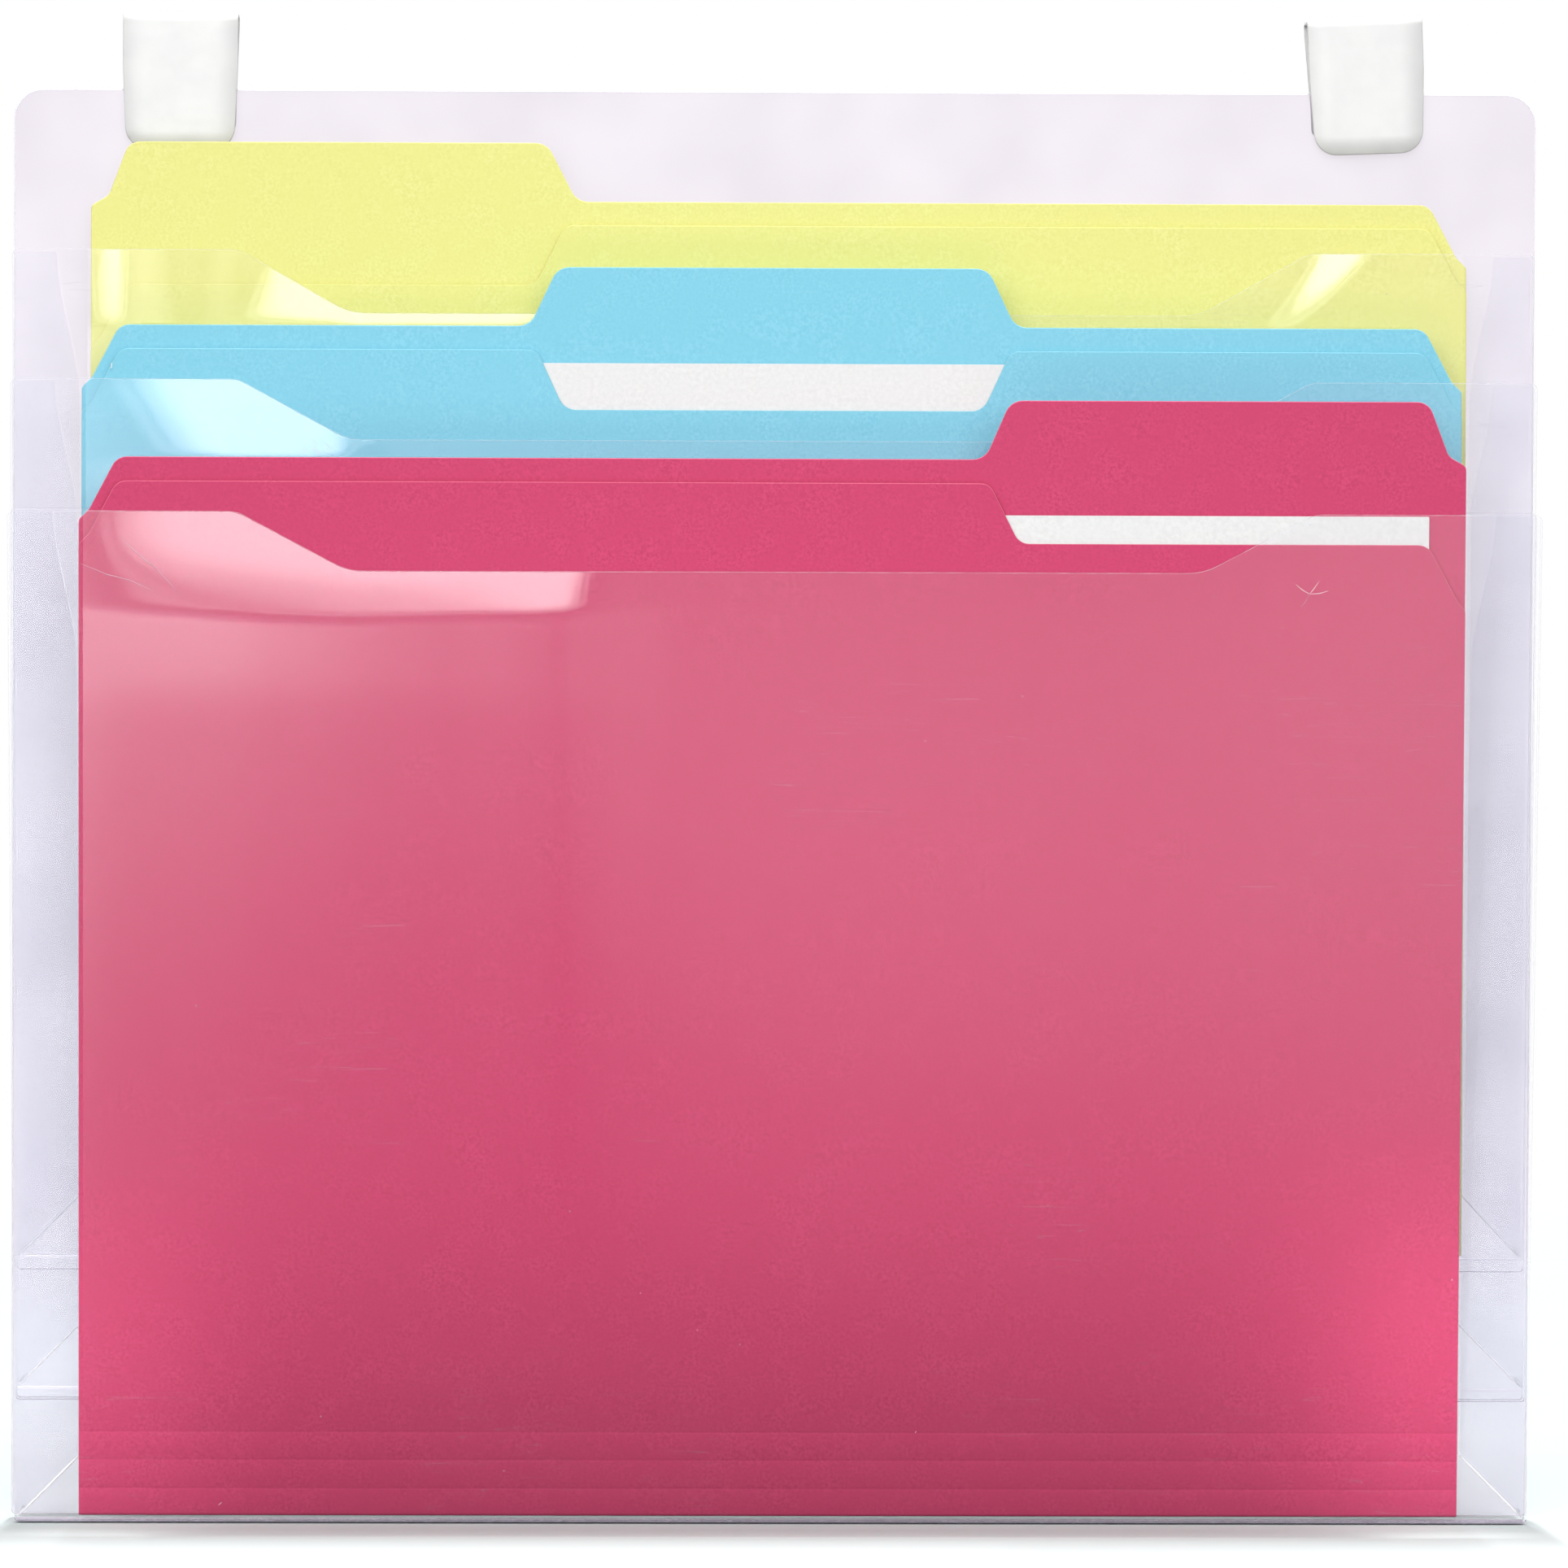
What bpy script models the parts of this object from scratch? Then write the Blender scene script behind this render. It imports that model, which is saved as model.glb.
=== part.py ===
"""Wall pocket organizer: a clear polypropylene back panel with three cascading
letter-size pockets, two spring hangers, and the three tabbed folders and two
paper stacks that the pockets hold.

Frame: X across the panel, -Y towards the person using it, +Z up. The origin is
the centre of the panel's back face, which lies on the wall plane Y = 0.
All lengths in this file are in millimetres and become metres at MM.
"""

import math

import bmesh
import bpy
from mathutils import Matrix, Vector

MM = 0.001
GAP = 0.3  # between pieces that touch

# back panel
PANEL_W = 330.2
PANEL_H = 310.0
PANEL_T = 0.8
PANEL_R = 6.4
PANEL_TOP = PANEL_H / 2

# pockets, numbered from the wall outwards
POCKET_H = 219.0
POCKET_STEP = 28.0  # each pocket sits this much lower than the one behind
UPPER_RISE = 56.0  # upper pocket's bottom above the panel's bottom edge
FRONT_T = 0.5
BACK_T = 0.4
BOTTOM_DRAW_IN = 1.4  # the sides draw in by this much at a pocket's bottom
DEPTH_BOTTOM = (5.0, 5.0, 5.0)
DEPTH_TOP = (8.0, 8.6, 14.0)
HEM = (2.4, 2.2, 0.0)  # welded hem of the sheets below the pocket's floor
SCOOP_DEPTH = (13.6, 13.0, 12.7)
SCOOP_OUTER = 116.0  # half width of the scoop at its upper corners
SCOOP_INNER = 92.0  # half width of the scoop's flat bottom
NAMES = ("upper", "middle", "lower")

# gussets
GUSSET_T = 0.35
PLEAT = 14.0  # how far the pleat's fold stands in from the pocket's side
PLEAT_AT = 0.35  # place of the fold between the back and the front sheet
FOLD_W = 0.8
MITRE = 14.5  # height of the mitred corner at the pocket's bottom
FLOOR_T = 0.4

# hangers
HANGER_X = 129.0
HANGER_W = 25.0
HANGER_T = 0.9
HANGER_RISE = 16.5
TONGUE_DROP = 13.2
TONGUE_R = 5.0
TONGUE_TAPER = 0.8
HOOK_DEPTH = 13.0
PAD_T = 0.4

# folders: a 9.5 by 11.75 inch card with a one-third tab
FOLDER_W = 298.45
CARD_T = 0.3
LEAF_GAP = 0.75
TAB_TOP = 241.3
BODY_TOP = 228.6
FLAP_TOP = 223.5
NOTCH = 210.5
FOLDER_CLEAR = 0.4  # from the pocket's front sheet

# paper
PAPER_W = 279.4
PAPER_H = 215.9
PAPER_T = 0.25


# ---------------------------------------------------------------- helpers


def clear_scene():
    for ob in list(bpy.data.objects):
        bpy.data.objects.remove(ob, do_unlink=True)
    for block in (bpy.data.meshes, bpy.data.curves, bpy.data.materials):
        for item in list(block):
            block.remove(item)


def collection(name):
    col = bpy.data.collections.new(name)
    bpy.context.scene.collection.children.link(col)
    return col


def material(name, rgb, roughness, alpha=1.0, transmission=0.0):
    mat = bpy.data.materials.new(name)
    mat.use_nodes = True
    bsdf = mat.node_tree.nodes["Principled BSDF"]
    bsdf.inputs["Base Color"].default_value = (*rgb, 1.0)
    bsdf.inputs["Roughness"].default_value = roughness
    bsdf.inputs["Metallic"].default_value = 0.0
    bsdf.inputs["Alpha"].default_value = alpha
    bsdf.inputs["Transmission Weight"].default_value = transmission
    mat.diffuse_color = (*rgb, 1.0)
    return mat


def rounded(points, steps=4):
    """Turns each (x, y, radius) corner of a closed outline into an arc."""
    out = []
    count = len(points)
    for i in range(count):
        p = Vector(points[i][:2])
        r = points[i][2]
        if r <= 0:
            out.append(p)
            continue
        u = (Vector(points[i - 1][:2]) - p).normalized()
        v = (Vector(points[(i + 1) % count][:2]) - p).normalized()
        half = u.angle(v) / 2
        reach = r / math.tan(half)
        centre = p + (u + v).normalized() * (r / math.sin(half))
        start = p + u * reach - centre
        end = p + v * reach - centre
        a0 = math.atan2(start.y, start.x)
        turn = (math.atan2(end.y, end.x) - a0 + math.pi) % (2 * math.pi) - math.pi
        for k in range(steps + 1):
            a = a0 + turn * k / steps
            out.append(centre + Vector((math.cos(a), math.sin(a))) * r)
    return out


def outline_mesh(name, outline, low, high):
    """A flat outline in local XY, filled and extruded along local Z from low to high."""
    curve = bpy.data.curves.new(name + "_outline", "CURVE")
    curve.dimensions = "2D"
    curve.fill_mode = "BOTH"
    curve.extrude = (high - low) / 2 * MM
    spline = curve.splines.new("POLY")
    spline.points.add(len(outline) - 1)
    for point, xy in zip(spline.points, outline):
        point.co = (xy[0] * MM, xy[1] * MM, 0.0, 1.0)
    spline.use_cyclic_u = True
    guide = bpy.data.objects.new(name + "_outline", curve)
    bpy.context.scene.collection.objects.link(guide)
    graph = bpy.context.evaluated_depsgraph_get()
    mesh = bpy.data.meshes.new_from_object(guide.evaluated_get(graph))
    mesh.name = name
    bm = bmesh.new()
    bm.from_mesh(mesh)
    bmesh.ops.remove_doubles(bm, verts=bm.verts, dist=1e-6)
    bmesh.ops.translate(bm, verts=bm.verts, vec=(0, 0, (low + high) / 2 * MM))
    bmesh.ops.recalc_face_normals(bm, faces=bm.faces)
    bm.to_mesh(mesh)
    bm.free()
    bpy.data.objects.remove(guide, do_unlink=True)
    bpy.data.curves.remove(curve)
    return mesh


def add(name, mesh, col, place=None, mat=None):
    ob = bpy.data.objects.new(name, mesh)
    col.objects.link(ob)
    if place is not None:
        ob.matrix_world = place
    if mat is not None:
        mesh.materials.clear()
        mesh.materials.append(mat)
    return ob


def box_mesh(name, low, high):
    mesh = bpy.data.meshes.new(name)
    bm = bmesh.new()
    bmesh.ops.create_cube(bm, size=1.0)
    size = [h - l for l, h in zip(low, high)]
    mid = [(h + l) / 2 for l, h in zip(low, high)]
    bmesh.ops.scale(bm, verts=bm.verts, vec=[s * MM for s in size])
    bmesh.ops.translate(bm, verts=bm.verts, vec=[m * MM for m in mid])
    bm.to_mesh(mesh)
    bm.free()
    return mesh


def boolean(ob, other, operation):
    mod = ob.modifiers.new(operation.lower(), "BOOLEAN")
    mod.operation = operation
    mod.solver = "EXACT"
    mod.object = other
    return mod


def as_tool(ob):
    ob.hide_render = True
    ob.display_type = "WIRE"


class Plane:
    """A sheet's plane: local X across, local Y up the sheet, local Z out to the viewer."""

    def __init__(self, y, z, tilt):
        self.y, self.z, self.tilt = y, z, tilt

    def up(self):
        return (-math.sin(self.tilt), math.cos(self.tilt))

    def out(self):
        return (-math.cos(self.tilt), -math.sin(self.tilt))

    def moved(self, up=0.0, out=0.0, turn=0.0):
        u, o = self.up(), self.out()
        return Plane(
            self.y + u[0] * up + o[0] * out,
            self.z + u[1] * up + o[1] * out,
            self.tilt + turn,
        )

    def matrix(self):
        return Matrix.Translation((0, self.y * MM, self.z * MM)) @ Matrix.Rotation(
            math.pi / 2 + self.tilt, 4, "X"
        )


# ---------------------------------------------------------------- outlines


def pocket_outline(hem, scoop=0.0):
    low = PANEL_W / 2 - BOTTOM_DRAW_IN
    top = PANEL_W / 2
    right = [(low, -hem, 0.8), (top, POCKET_H, 1.5)]
    if scoop:
        right += [
            (SCOOP_OUTER, POCKET_H, 8.0),
            (SCOOP_INNER, POCKET_H - scoop, 14.0),
        ]
    left = [(-x, y, r) for x, y, r in reversed(right)]
    return rounded(right + left, 5)


def back_leaf(tab):
    """The folder's back leaf, with its tab at the left, middle or right."""
    h = FOLDER_W / 2
    foot = CARD_T + GAP
    left_cut = [(-141.0, BODY_TOP, 3.5), (-147.0, 217.2, 2.5), (-h, 215.0, 1.5)]
    right_cut = [(h, 215.0, 1.5), (147.0, 217.2, 2.5), (141.0, BODY_TOP, 3.5)]
    if tab == "left":
        top = [
            (-44.0, BODY_TOP, 4.0),
            (-50.5, TAB_TOP, 4.0),
            (-141.0, TAB_TOP, 3.5),
            (-145.4, 229.6, 3.0),
            (-h, 227.4, 1.5),
        ]
        points = [(h, foot, 0.6), *right_cut, *top, (-h, foot, 0.6)]
    elif tab == "right":
        top = [
            (h, 227.4, 1.5),
            (145.4, 229.6, 3.0),
            (141.0, TAB_TOP, 3.5),
            (51.0, TAB_TOP, 4.0),
            (45.5, BODY_TOP, 4.0),
        ]
        points = [(h, foot, 0.6), *top, *left_cut, (-h, foot, 0.6)]
    else:
        top = [
            (52.5, BODY_TOP, 4.0),
            (46.5, TAB_TOP, 4.0),
            (-46.5, TAB_TOP, 4.0),
            (-52.5, BODY_TOP, 4.0),
        ]
        points = [(h, foot, 0.6), *right_cut, *top, *left_cut, (-h, foot, 0.6)]
    return rounded(points, 3)


def front_leaf(tab):
    """The folder's front leaf, lower than the back one and notched where the tab is."""
    h = FOLDER_W / 2
    foot = CARD_T + GAP
    drop = BODY_TOP - FLAP_TOP
    left_cut = [
        (-141.0, FLAP_TOP, 3.5),
        (-147.0, 217.2 - drop, 2.5),
        (-h, 215.0 - drop, 1.5),
    ]
    right_cut = [(-x, y, r) for x, y, r in reversed(left_cut)]
    if tab == "left":
        top = [
            (-46.5, FLAP_TOP, 3.0),
            (-53.0, NOTCH, 3.5),
            (-141.0, NOTCH, 3.5),
            (-147.4, 198.6, 2.5),
            (-h, 196.4, 1.5),
        ]
        points = [(h, foot, 0.6), *right_cut, *top, (-h, foot, 0.6)]
    elif tab == "right":
        top = [
            (h, 196.4, 1.5),
            (147.4, 198.6, 2.5),
            (141.0, NOTCH, 3.5),
            (53.0, NOTCH, 3.5),
            (46.5, FLAP_TOP, 3.0),
        ]
        points = [(h, foot, 0.6), *top, *left_cut, (-h, foot, 0.6)]
    else:
        top = [
            (51.5, FLAP_TOP, 3.0),
            (45.5, NOTCH, 4.0),
            (-45.0, NOTCH, 4.0),
            (-51.0, FLAP_TOP, 3.0),
        ]
        points = [(h, foot, 0.6), *right_cut, *top, *left_cut, (-h, foot, 0.6)]
    return rounded(points, 3)


# ---------------------------------------------------------------- pieces


def pleat_mesh(name, side, depth_low, depth_high):
    """A pocket's side gusset: a V pleat pushed in from the side, whose foot is
    mitred at 45 degrees down to the pocket's outer corner. Local frame of the
    sheet behind it."""

    def half_width(s):
        return PANEL_W / 2 - BOTTOM_DRAW_IN * (1 - s / POCKET_H) - 0.4

    def depth(s):
        return depth_low + (depth_high - depth_low) * s / POCKET_H

    foot = FLOOR_T + GAP + GUSSET_T / 2
    levels = [
        (foot, 0.35),
        (MITRE, PLEAT),
        (POCKET_H * 0.5, PLEAT),
        (POCKET_H - 0.6, PLEAT),
    ]
    edge = GAP + GUSSET_T / 2
    rows = []
    for s, inward in levels:
        d = depth(s)
        fold = max(PLEAT_AT * d, edge + 0.9)
        x = half_width(s)
        rows.append(
            [
                (x, s, edge),
                (x - inward, s, fold - FOLD_W / 2),
                (x - inward, s, fold + FOLD_W / 2),
                (x, s, d - edge),
            ]
        )
    bm = bmesh.new()
    grid = [
        [bm.verts.new((side * x * MM, s * MM, n * MM)) for x, s, n in row]
        for row in rows
    ]
    for low, high in zip(grid, grid[1:]):
        first = low is grid[0]
        for i in range(3):
            a, b, c, d = low[i], low[i + 1], high[i + 1], high[i]
            if first and i == 0:  # crease from the back corner to the fold
                bm.faces.new((a, b, c))
                bm.faces.new((a, c, d))
            elif first and i == 2:  # crease from the front corner to the fold
                bm.faces.new((a, b, d))
                bm.faces.new((b, c, d))
            else:
                bm.faces.new((a, b, c, d))
    bmesh.ops.recalc_face_normals(bm, faces=bm.faces)
    mesh = bpy.data.meshes.new(name)
    bm.to_mesh(mesh)
    bm.free()
    return mesh


def add_pleat(name, side, depths, place, col, mat):
    ob = add(name, pleat_mesh(name, side, *depths), col, place, mat)
    mod = ob.modifiers.new("sheet", "SOLIDIFY")
    mod.thickness = GUSSET_T * MM
    mod.offset = 0.0
    mod.use_even_offset = False
    return ob


def strip_outline(line, thickness):
    """The outline of a bent strip around its centre line."""
    left, right = [], []
    for i, p in enumerate(line):
        a = line[max(i - 1, 0)]
        b = line[min(i + 1, len(line) - 1)]
        u = (p - a).normalized() if i else (b - p).normalized()
        v = (b - p).normalized() if i < len(line) - 1 else u
        normal = Vector((-(u + v).y, (u + v).x)).normalized()
        reach = thickness / 2 / max(normal.dot(Vector((-u.y, u.x))), 0.5)
        left.append(p + normal * reach)
        right.append(p - normal * reach)
    return left + right[::-1]


def bend(points, steps=4):
    """A centre line with an arc at each inner corner. points are (y, z, radius)."""
    out = []
    for i, point in enumerate(points):
        p, r = Vector(point[:2]), point[2]
        if i in (0, len(points) - 1) or r <= 0:
            out.append(p)
            continue
        u = (Vector(points[i - 1][:2]) - p).normalized()
        v = (Vector(points[i + 1][:2]) - p).normalized()
        half = u.angle(v) / 2
        reach = r / math.tan(half)
        centre = p + (u + v).normalized() * (r / math.sin(half))
        start, end = p + u * reach - centre, p + v * reach - centre
        a0 = math.atan2(start.y, start.x)
        turn = (math.atan2(end.y, end.x) - a0 + math.pi) % (2 * math.pi) - math.pi
        for k in range(steps + 1):
            a = a0 + turn * k / steps
            out.append(centre + Vector((math.cos(a), math.sin(a))) * r)
    return out


# the hanger's side view, (y, z): its tongue lies on the panel's front, its top
# runs back over the wall's edge, and its leg springs in behind it
TONGUE_Y = -(PANEL_T + GAP + PAD_T + GAP + HANGER_T / 2)
HOOK_TOP = PANEL_TOP + HANGER_RISE - HANGER_T / 2
HOOK_REAR = TONGUE_Y + HOOK_DEPTH - HANGER_T
HINGE_Y = HOOK_REAR - 2.6
LEG_FOOT = (5.6, PANEL_TOP - 9.0)
LEG_NEAR = (3.5, PANEL_TOP - 3.0)


def side_matrix(x):
    """Local X is world Y, local Y is world Z, local Z is world X."""
    return Matrix(((0, 0, 1, x * MM), (1, 0, 0, 0), (0, 1, 0, 0), (0, 0, 0, 1)))


def add_hanger(name, x, parts, tools, mat):
    line = bend(
        [
            (TONGUE_Y, PANEL_TOP - TONGUE_DROP, 0),
            (TONGUE_Y, HOOK_TOP, 1.2),
            (HINGE_Y - GAP / 2, HOOK_TOP, 0),
        ]
    )
    ob = add(
        name,
        outline_mesh(
            name, strip_outline(line, HANGER_T), -HANGER_W / 2, HANGER_W / 2
        ),
        parts,
        side_matrix(x),
        mat,
    )
    half = HANGER_W / 2 + 1
    inner = HANGER_W / 2
    shape = rounded(
        [
            (inner - TONGUE_TAPER, PANEL_TOP - TONGUE_DROP - 0.01, TONGUE_R),
            (inner, PANEL_TOP + 5, 0),
            (half, PANEL_TOP + 6, 0),
            (half, PANEL_TOP + 25, 0),
            (-half, PANEL_TOP + 25, 0),
            (-half, PANEL_TOP + 6, 0),
            (-inner, PANEL_TOP + 5, 0),
            (TONGUE_TAPER - inner, PANEL_TOP - TONGUE_DROP - 0.01, TONGUE_R),
        ],
        4,
    )
    keep = add(
        name + "_rounding",
        outline_mesh(name + "_rounding", shape, -20, 20),
        tools,
        Matrix.Translation((x * MM, 0, 0)) @ Matrix.Rotation(math.pi / 2, 4, "X"),
    )
    as_tool(keep)
    boolean(ob, keep, "INTERSECT")
    return ob


def add_leg(name, x, parts, mat):
    """The hanger's sprung leg. Its origin is on the bend that it turns about."""
    line = bend(
        [
            (HINGE_Y + GAP / 2, HOOK_TOP, 0),
            (HOOK_REAR, HOOK_TOP, 1.2),
            (LEG_NEAR[0], LEG_NEAR[1], 3.0),
            (LEG_FOOT[0], LEG_FOOT[1], 0),
        ]
    )
    pivot = Vector((HINGE_Y, HOOK_TOP))
    line = [p - pivot for p in line]
    mesh = outline_mesh(
        name, strip_outline(line, HANGER_T), -HANGER_W / 2, HANGER_W / 2
    )
    place = Matrix.Translation((0, HINGE_Y * MM, HOOK_TOP * MM)) @ side_matrix(x)
    return add(name, mesh, parts, place, mat)


def add_folder(name, tab, x, rise, front, parts, mat):
    """A folded card: its back leaf, its front leaf and the fold that joins them,
    in the frame of the pocket's front sheet. The card is one piece; it is parted
    at the fold, so that the space between the leaves stays open. Each origin is
    at the middle of the fold's bottom."""
    place = front.moved(up=rise, out=-FOLDER_CLEAR).matrix() @ Matrix.Translation(
        (x * MM, 0, 0)
    )
    total = 2 * CARD_T + LEAF_GAP
    add(
        name + "_back_leaf",
        outline_mesh(name + "_back_leaf", back_leaf(tab), -total, -total + CARD_T),
        parts,
        place,
        mat,
    )
    add(
        name + "_front_leaf",
        outline_mesh(name + "_front_leaf", front_leaf(tab), -CARD_T, 0),
        parts,
        place,
        mat,
    )
    add(
        name + "_fold",
        box_mesh(
            name + "_fold",
            (-FOLDER_W / 2 + 0.6, 0, -total),
            (FOLDER_W / 2 - 0.6, CARD_T, 0),
        ),
        parts,
        place,
        mat,
    )


def add_paper(name, x, rise, front, parts, mat):
    """A thin stack of letter sheets between a folder's leaves."""
    high = -(FOLDER_CLEAR + CARD_T + (LEAF_GAP - PAPER_T) / 2)
    mesh = box_mesh(
        name,
        (x - PAPER_W / 2, 0, high - PAPER_T),
        (x + PAPER_W / 2, PAPER_H, high),
    )
    return add(name, mesh, parts, front.moved(up=rise).matrix(), mat)


# ---------------------------------------------------------------- assembly


def main():
    clear_scene()
    parts = collection("wall_pocket_organizer")
    tools = collection("cutters")

    clear_pp = material("clear_pp", (0.90, 0.89, 0.93), 0.28, 0.35)
    panel_pp = material("panel_pp", (0.88, 0.86, 0.90), 0.35, 0.6)
    white_pp = material("white_pp", (0.91, 0.91, 0.89), 0.45)
    pad_foam = material("pad_foam", (0.85, 0.85, 0.83), 0.8)
    paper = material("paper", (0.91, 0.90, 0.91), 0.9)
    cards = {
        "yellow": material("card_yellow", (0.91, 0.91, 0.30), 0.9),
        "blue": material("card_blue", (0.32, 0.72, 0.89), 0.9),
        "red": material("card_red", (0.70, 0.10, 0.19), 0.9),
    }

    # back panel
    half = PANEL_W / 2
    outline = rounded(
        [
            (half, -PANEL_TOP, 1.0),
            (half, PANEL_TOP, PANEL_R),
            (-half, PANEL_TOP, PANEL_R),
            (-half, -PANEL_TOP, 1.0),
        ],
        6,
    )
    wall = Plane(0.0, 0.0, 0.0)
    add(
        "back_panel",
        outline_mesh("back_panel", outline, 0, PANEL_T),
        parts,
        wall.matrix(),
        panel_pp,
    )

    # hangers, their adhesive pads and their sprung legs
    for side, x in (("left", -HANGER_X), ("right", HANGER_X)):
        add_hanger("hanger_" + side, x, parts, tools, white_pp)
        add_leg("hanger_leg_" + side, x, parts, white_pp)
        pad = rounded(
            [
                (x + 10.5, PANEL_TOP - 10.5, 1.5),
                (x + 10.5, PANEL_TOP - 1.0, 1.5),
                (x - 10.5, PANEL_TOP - 1.0, 1.5),
                (x - 10.5, PANEL_TOP - 10.5, 1.5),
            ],
            3,
        )
        add(
            "hanger_pad_" + side,
            outline_mesh(
                "hanger_pad_" + side,
                pad,
                PANEL_T + GAP,
                PANEL_T + GAP + PAD_T,
            ),
            parts,
            wall.matrix(),
            pad_foam,
        )

    # three pockets, each built on the sheet behind it
    behind = wall.moved(up=UPPER_RISE - PANEL_TOP, out=PANEL_T)
    fronts = []
    for k, name in enumerate(NAMES):
        low, high = DEPTH_BOTTOM[k], DEPTH_TOP[k]
        if k:
            behind = fronts[-1].moved(
                up=-POCKET_STEP, out=FRONT_T + GAP + BACK_T
            )
            add(
                "pocket_back_" + name,
                outline_mesh(
                    "pocket_back_" + name, pocket_outline(HEM[k]), -BACK_T, 0
                ),
                parts,
                behind.matrix(),
                clear_pp,
            )
        front = behind.moved(out=low, turn=math.atan2(high - low, POCKET_H))
        width = PANEL_W / 2 - BOTTOM_DRAW_IN - 0.4
        add(
            "pocket_floor_" + name,
            box_mesh(
                "pocket_floor_" + name,
                (-width, 0, GAP),
                (width, FLOOR_T, low - GAP),
            ),
            parts,
            behind.matrix(),
            clear_pp,
        )
        for side, sign in (("left", -1), ("right", 1)):
            add_pleat(
                f"gusset_{name}_{side}",
                sign,
                (low, high),
                behind.matrix(),
                parts,
                clear_pp,
            )
        add(
            "pocket_front_" + name,
            outline_mesh(
                "pocket_front_" + name,
                pocket_outline(HEM[k], SCOOP_DEPTH[k]),
                0,
                FRONT_T,
            ),
            parts,
            front.matrix(),
            clear_pp,
        )
        fronts.append(front)

    # folders and paper
    for name, tab, x, rise, front in (
        ("yellow", "left", 1.1, 1.0, fronts[0]),
        ("blue", "middle", -0.5, 2.0, fronts[1]),
        ("red", "right", -0.6, 1.9, fronts[2]),
    ):
        add_folder("folder_" + name, tab, x, rise, front, parts, cards[name])
    add_paper("paper_blue", 0.4, 2.4 + 4.3, fronts[1], parts, paper)
    add_paper("paper_red", 1.0, 1.9 + 0.7, fronts[2], parts, paper)
    bpy.context.view_layer.update()


main()
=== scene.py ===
"""Wall pocket organizer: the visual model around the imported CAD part.

Lengths in this file are in millimetres until a mesh is written (MM). A sheet is
an outline in the local frame of its plane: x across, s up the sheet, n out
towards the viewer, exactly as in the CAD source.
"""

import math

import bmesh
import bpy
import numpy as np
from mathutils import Matrix, Vector


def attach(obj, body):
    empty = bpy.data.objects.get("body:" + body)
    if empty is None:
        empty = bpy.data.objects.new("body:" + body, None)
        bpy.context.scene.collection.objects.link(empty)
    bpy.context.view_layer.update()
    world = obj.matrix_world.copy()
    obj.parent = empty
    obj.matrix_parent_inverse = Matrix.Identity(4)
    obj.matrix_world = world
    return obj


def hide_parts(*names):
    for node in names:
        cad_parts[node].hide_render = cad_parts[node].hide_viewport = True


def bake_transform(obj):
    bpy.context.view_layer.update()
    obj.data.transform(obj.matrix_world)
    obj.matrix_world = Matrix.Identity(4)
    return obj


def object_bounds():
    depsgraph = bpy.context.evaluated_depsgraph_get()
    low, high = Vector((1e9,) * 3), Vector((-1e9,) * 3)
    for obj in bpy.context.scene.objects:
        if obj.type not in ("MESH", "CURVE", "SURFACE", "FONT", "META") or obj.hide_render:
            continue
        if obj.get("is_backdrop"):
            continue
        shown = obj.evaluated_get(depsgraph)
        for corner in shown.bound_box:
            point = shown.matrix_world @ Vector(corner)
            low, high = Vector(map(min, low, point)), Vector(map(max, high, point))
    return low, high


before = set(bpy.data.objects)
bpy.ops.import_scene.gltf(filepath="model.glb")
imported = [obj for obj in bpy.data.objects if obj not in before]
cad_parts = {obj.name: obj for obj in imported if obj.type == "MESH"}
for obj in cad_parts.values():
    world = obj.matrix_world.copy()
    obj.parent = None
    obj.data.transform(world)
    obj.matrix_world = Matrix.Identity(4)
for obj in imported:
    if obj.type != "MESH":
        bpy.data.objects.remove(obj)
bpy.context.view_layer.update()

MM = 0.001
rad = math.radians
scene = bpy.context.scene

# ------------------------------------------------------------------ sizes

PANEL_W, PANEL_H, PANEL_T, PANEL_R = 330.2, 310.0, 0.8, 6.4
PANEL_TOP = PANEL_H / 2
POCKET_H, FRONT_T, BACK_T, DRAW_IN = 219.0, 0.5, 0.4, 1.4
DEPTH = ((5.0, 8.0), (5.0, 8.6), (5.0, 14.0))
HEM = (2.4, 2.2, 0.0)
SCOOP = (13.6, 13.0, 12.7)
SCOOP_OUTER, SCOOP_INNER = 116.0, 92.0
GUSSET_T, PLEAT, MITRE, FLOOR_T = 0.35, 14.0, 14.5, 0.4
GAP = 0.3
NAMES = ("upper", "middle", "lower")
BODIES = ("panel", "upper_front", "middle_front", "lower_front")

HANGER_X, HANGER_W, HANGER_T = 129.0, 25.0, 0.9
TONGUE_Y = -2.25
HOOK_TOP = 171.05
HOOK_REAR = 9.85
PAD_T = 0.4

FOLDER_W, CARD_T, LEAF_GAP = 298.45, 0.3, 0.75
TAB_TOP, BODY_TOP, FLAP_TOP, NOTCH = 241.3, 228.6, 223.5, 210.5
PAPER_W, PAPER_H = 279.4, 215.9


class Plane:
    """A sheet's plane in the YZ section: where it starts and how far it leans."""

    def __init__(self, y, z, tilt):
        self.y, self.z, self.tilt = y, z, tilt

    def up(self):
        return (-math.sin(self.tilt), math.cos(self.tilt))

    def out(self):
        return (-math.cos(self.tilt), -math.sin(self.tilt))

    def moved(self, up=0.0, out=0.0, turn=0.0):
        u, o = self.up(), self.out()
        return Plane(
            self.y + u[0] * up + o[0] * out,
            self.z + u[1] * up + o[1] * out,
            self.tilt + turn,
        )

    def place(self, p):
        """(x, s, n) points to (X, Y, Z)."""
        u, o = self.up(), self.out()
        return np.stack(
            [
                p[:, 0],
                self.y + u[0] * p[:, 1] + o[0] * p[:, 2],
                self.z + u[1] * p[:, 1] + o[1] * p[:, 2],
            ],
            1,
        )


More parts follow.
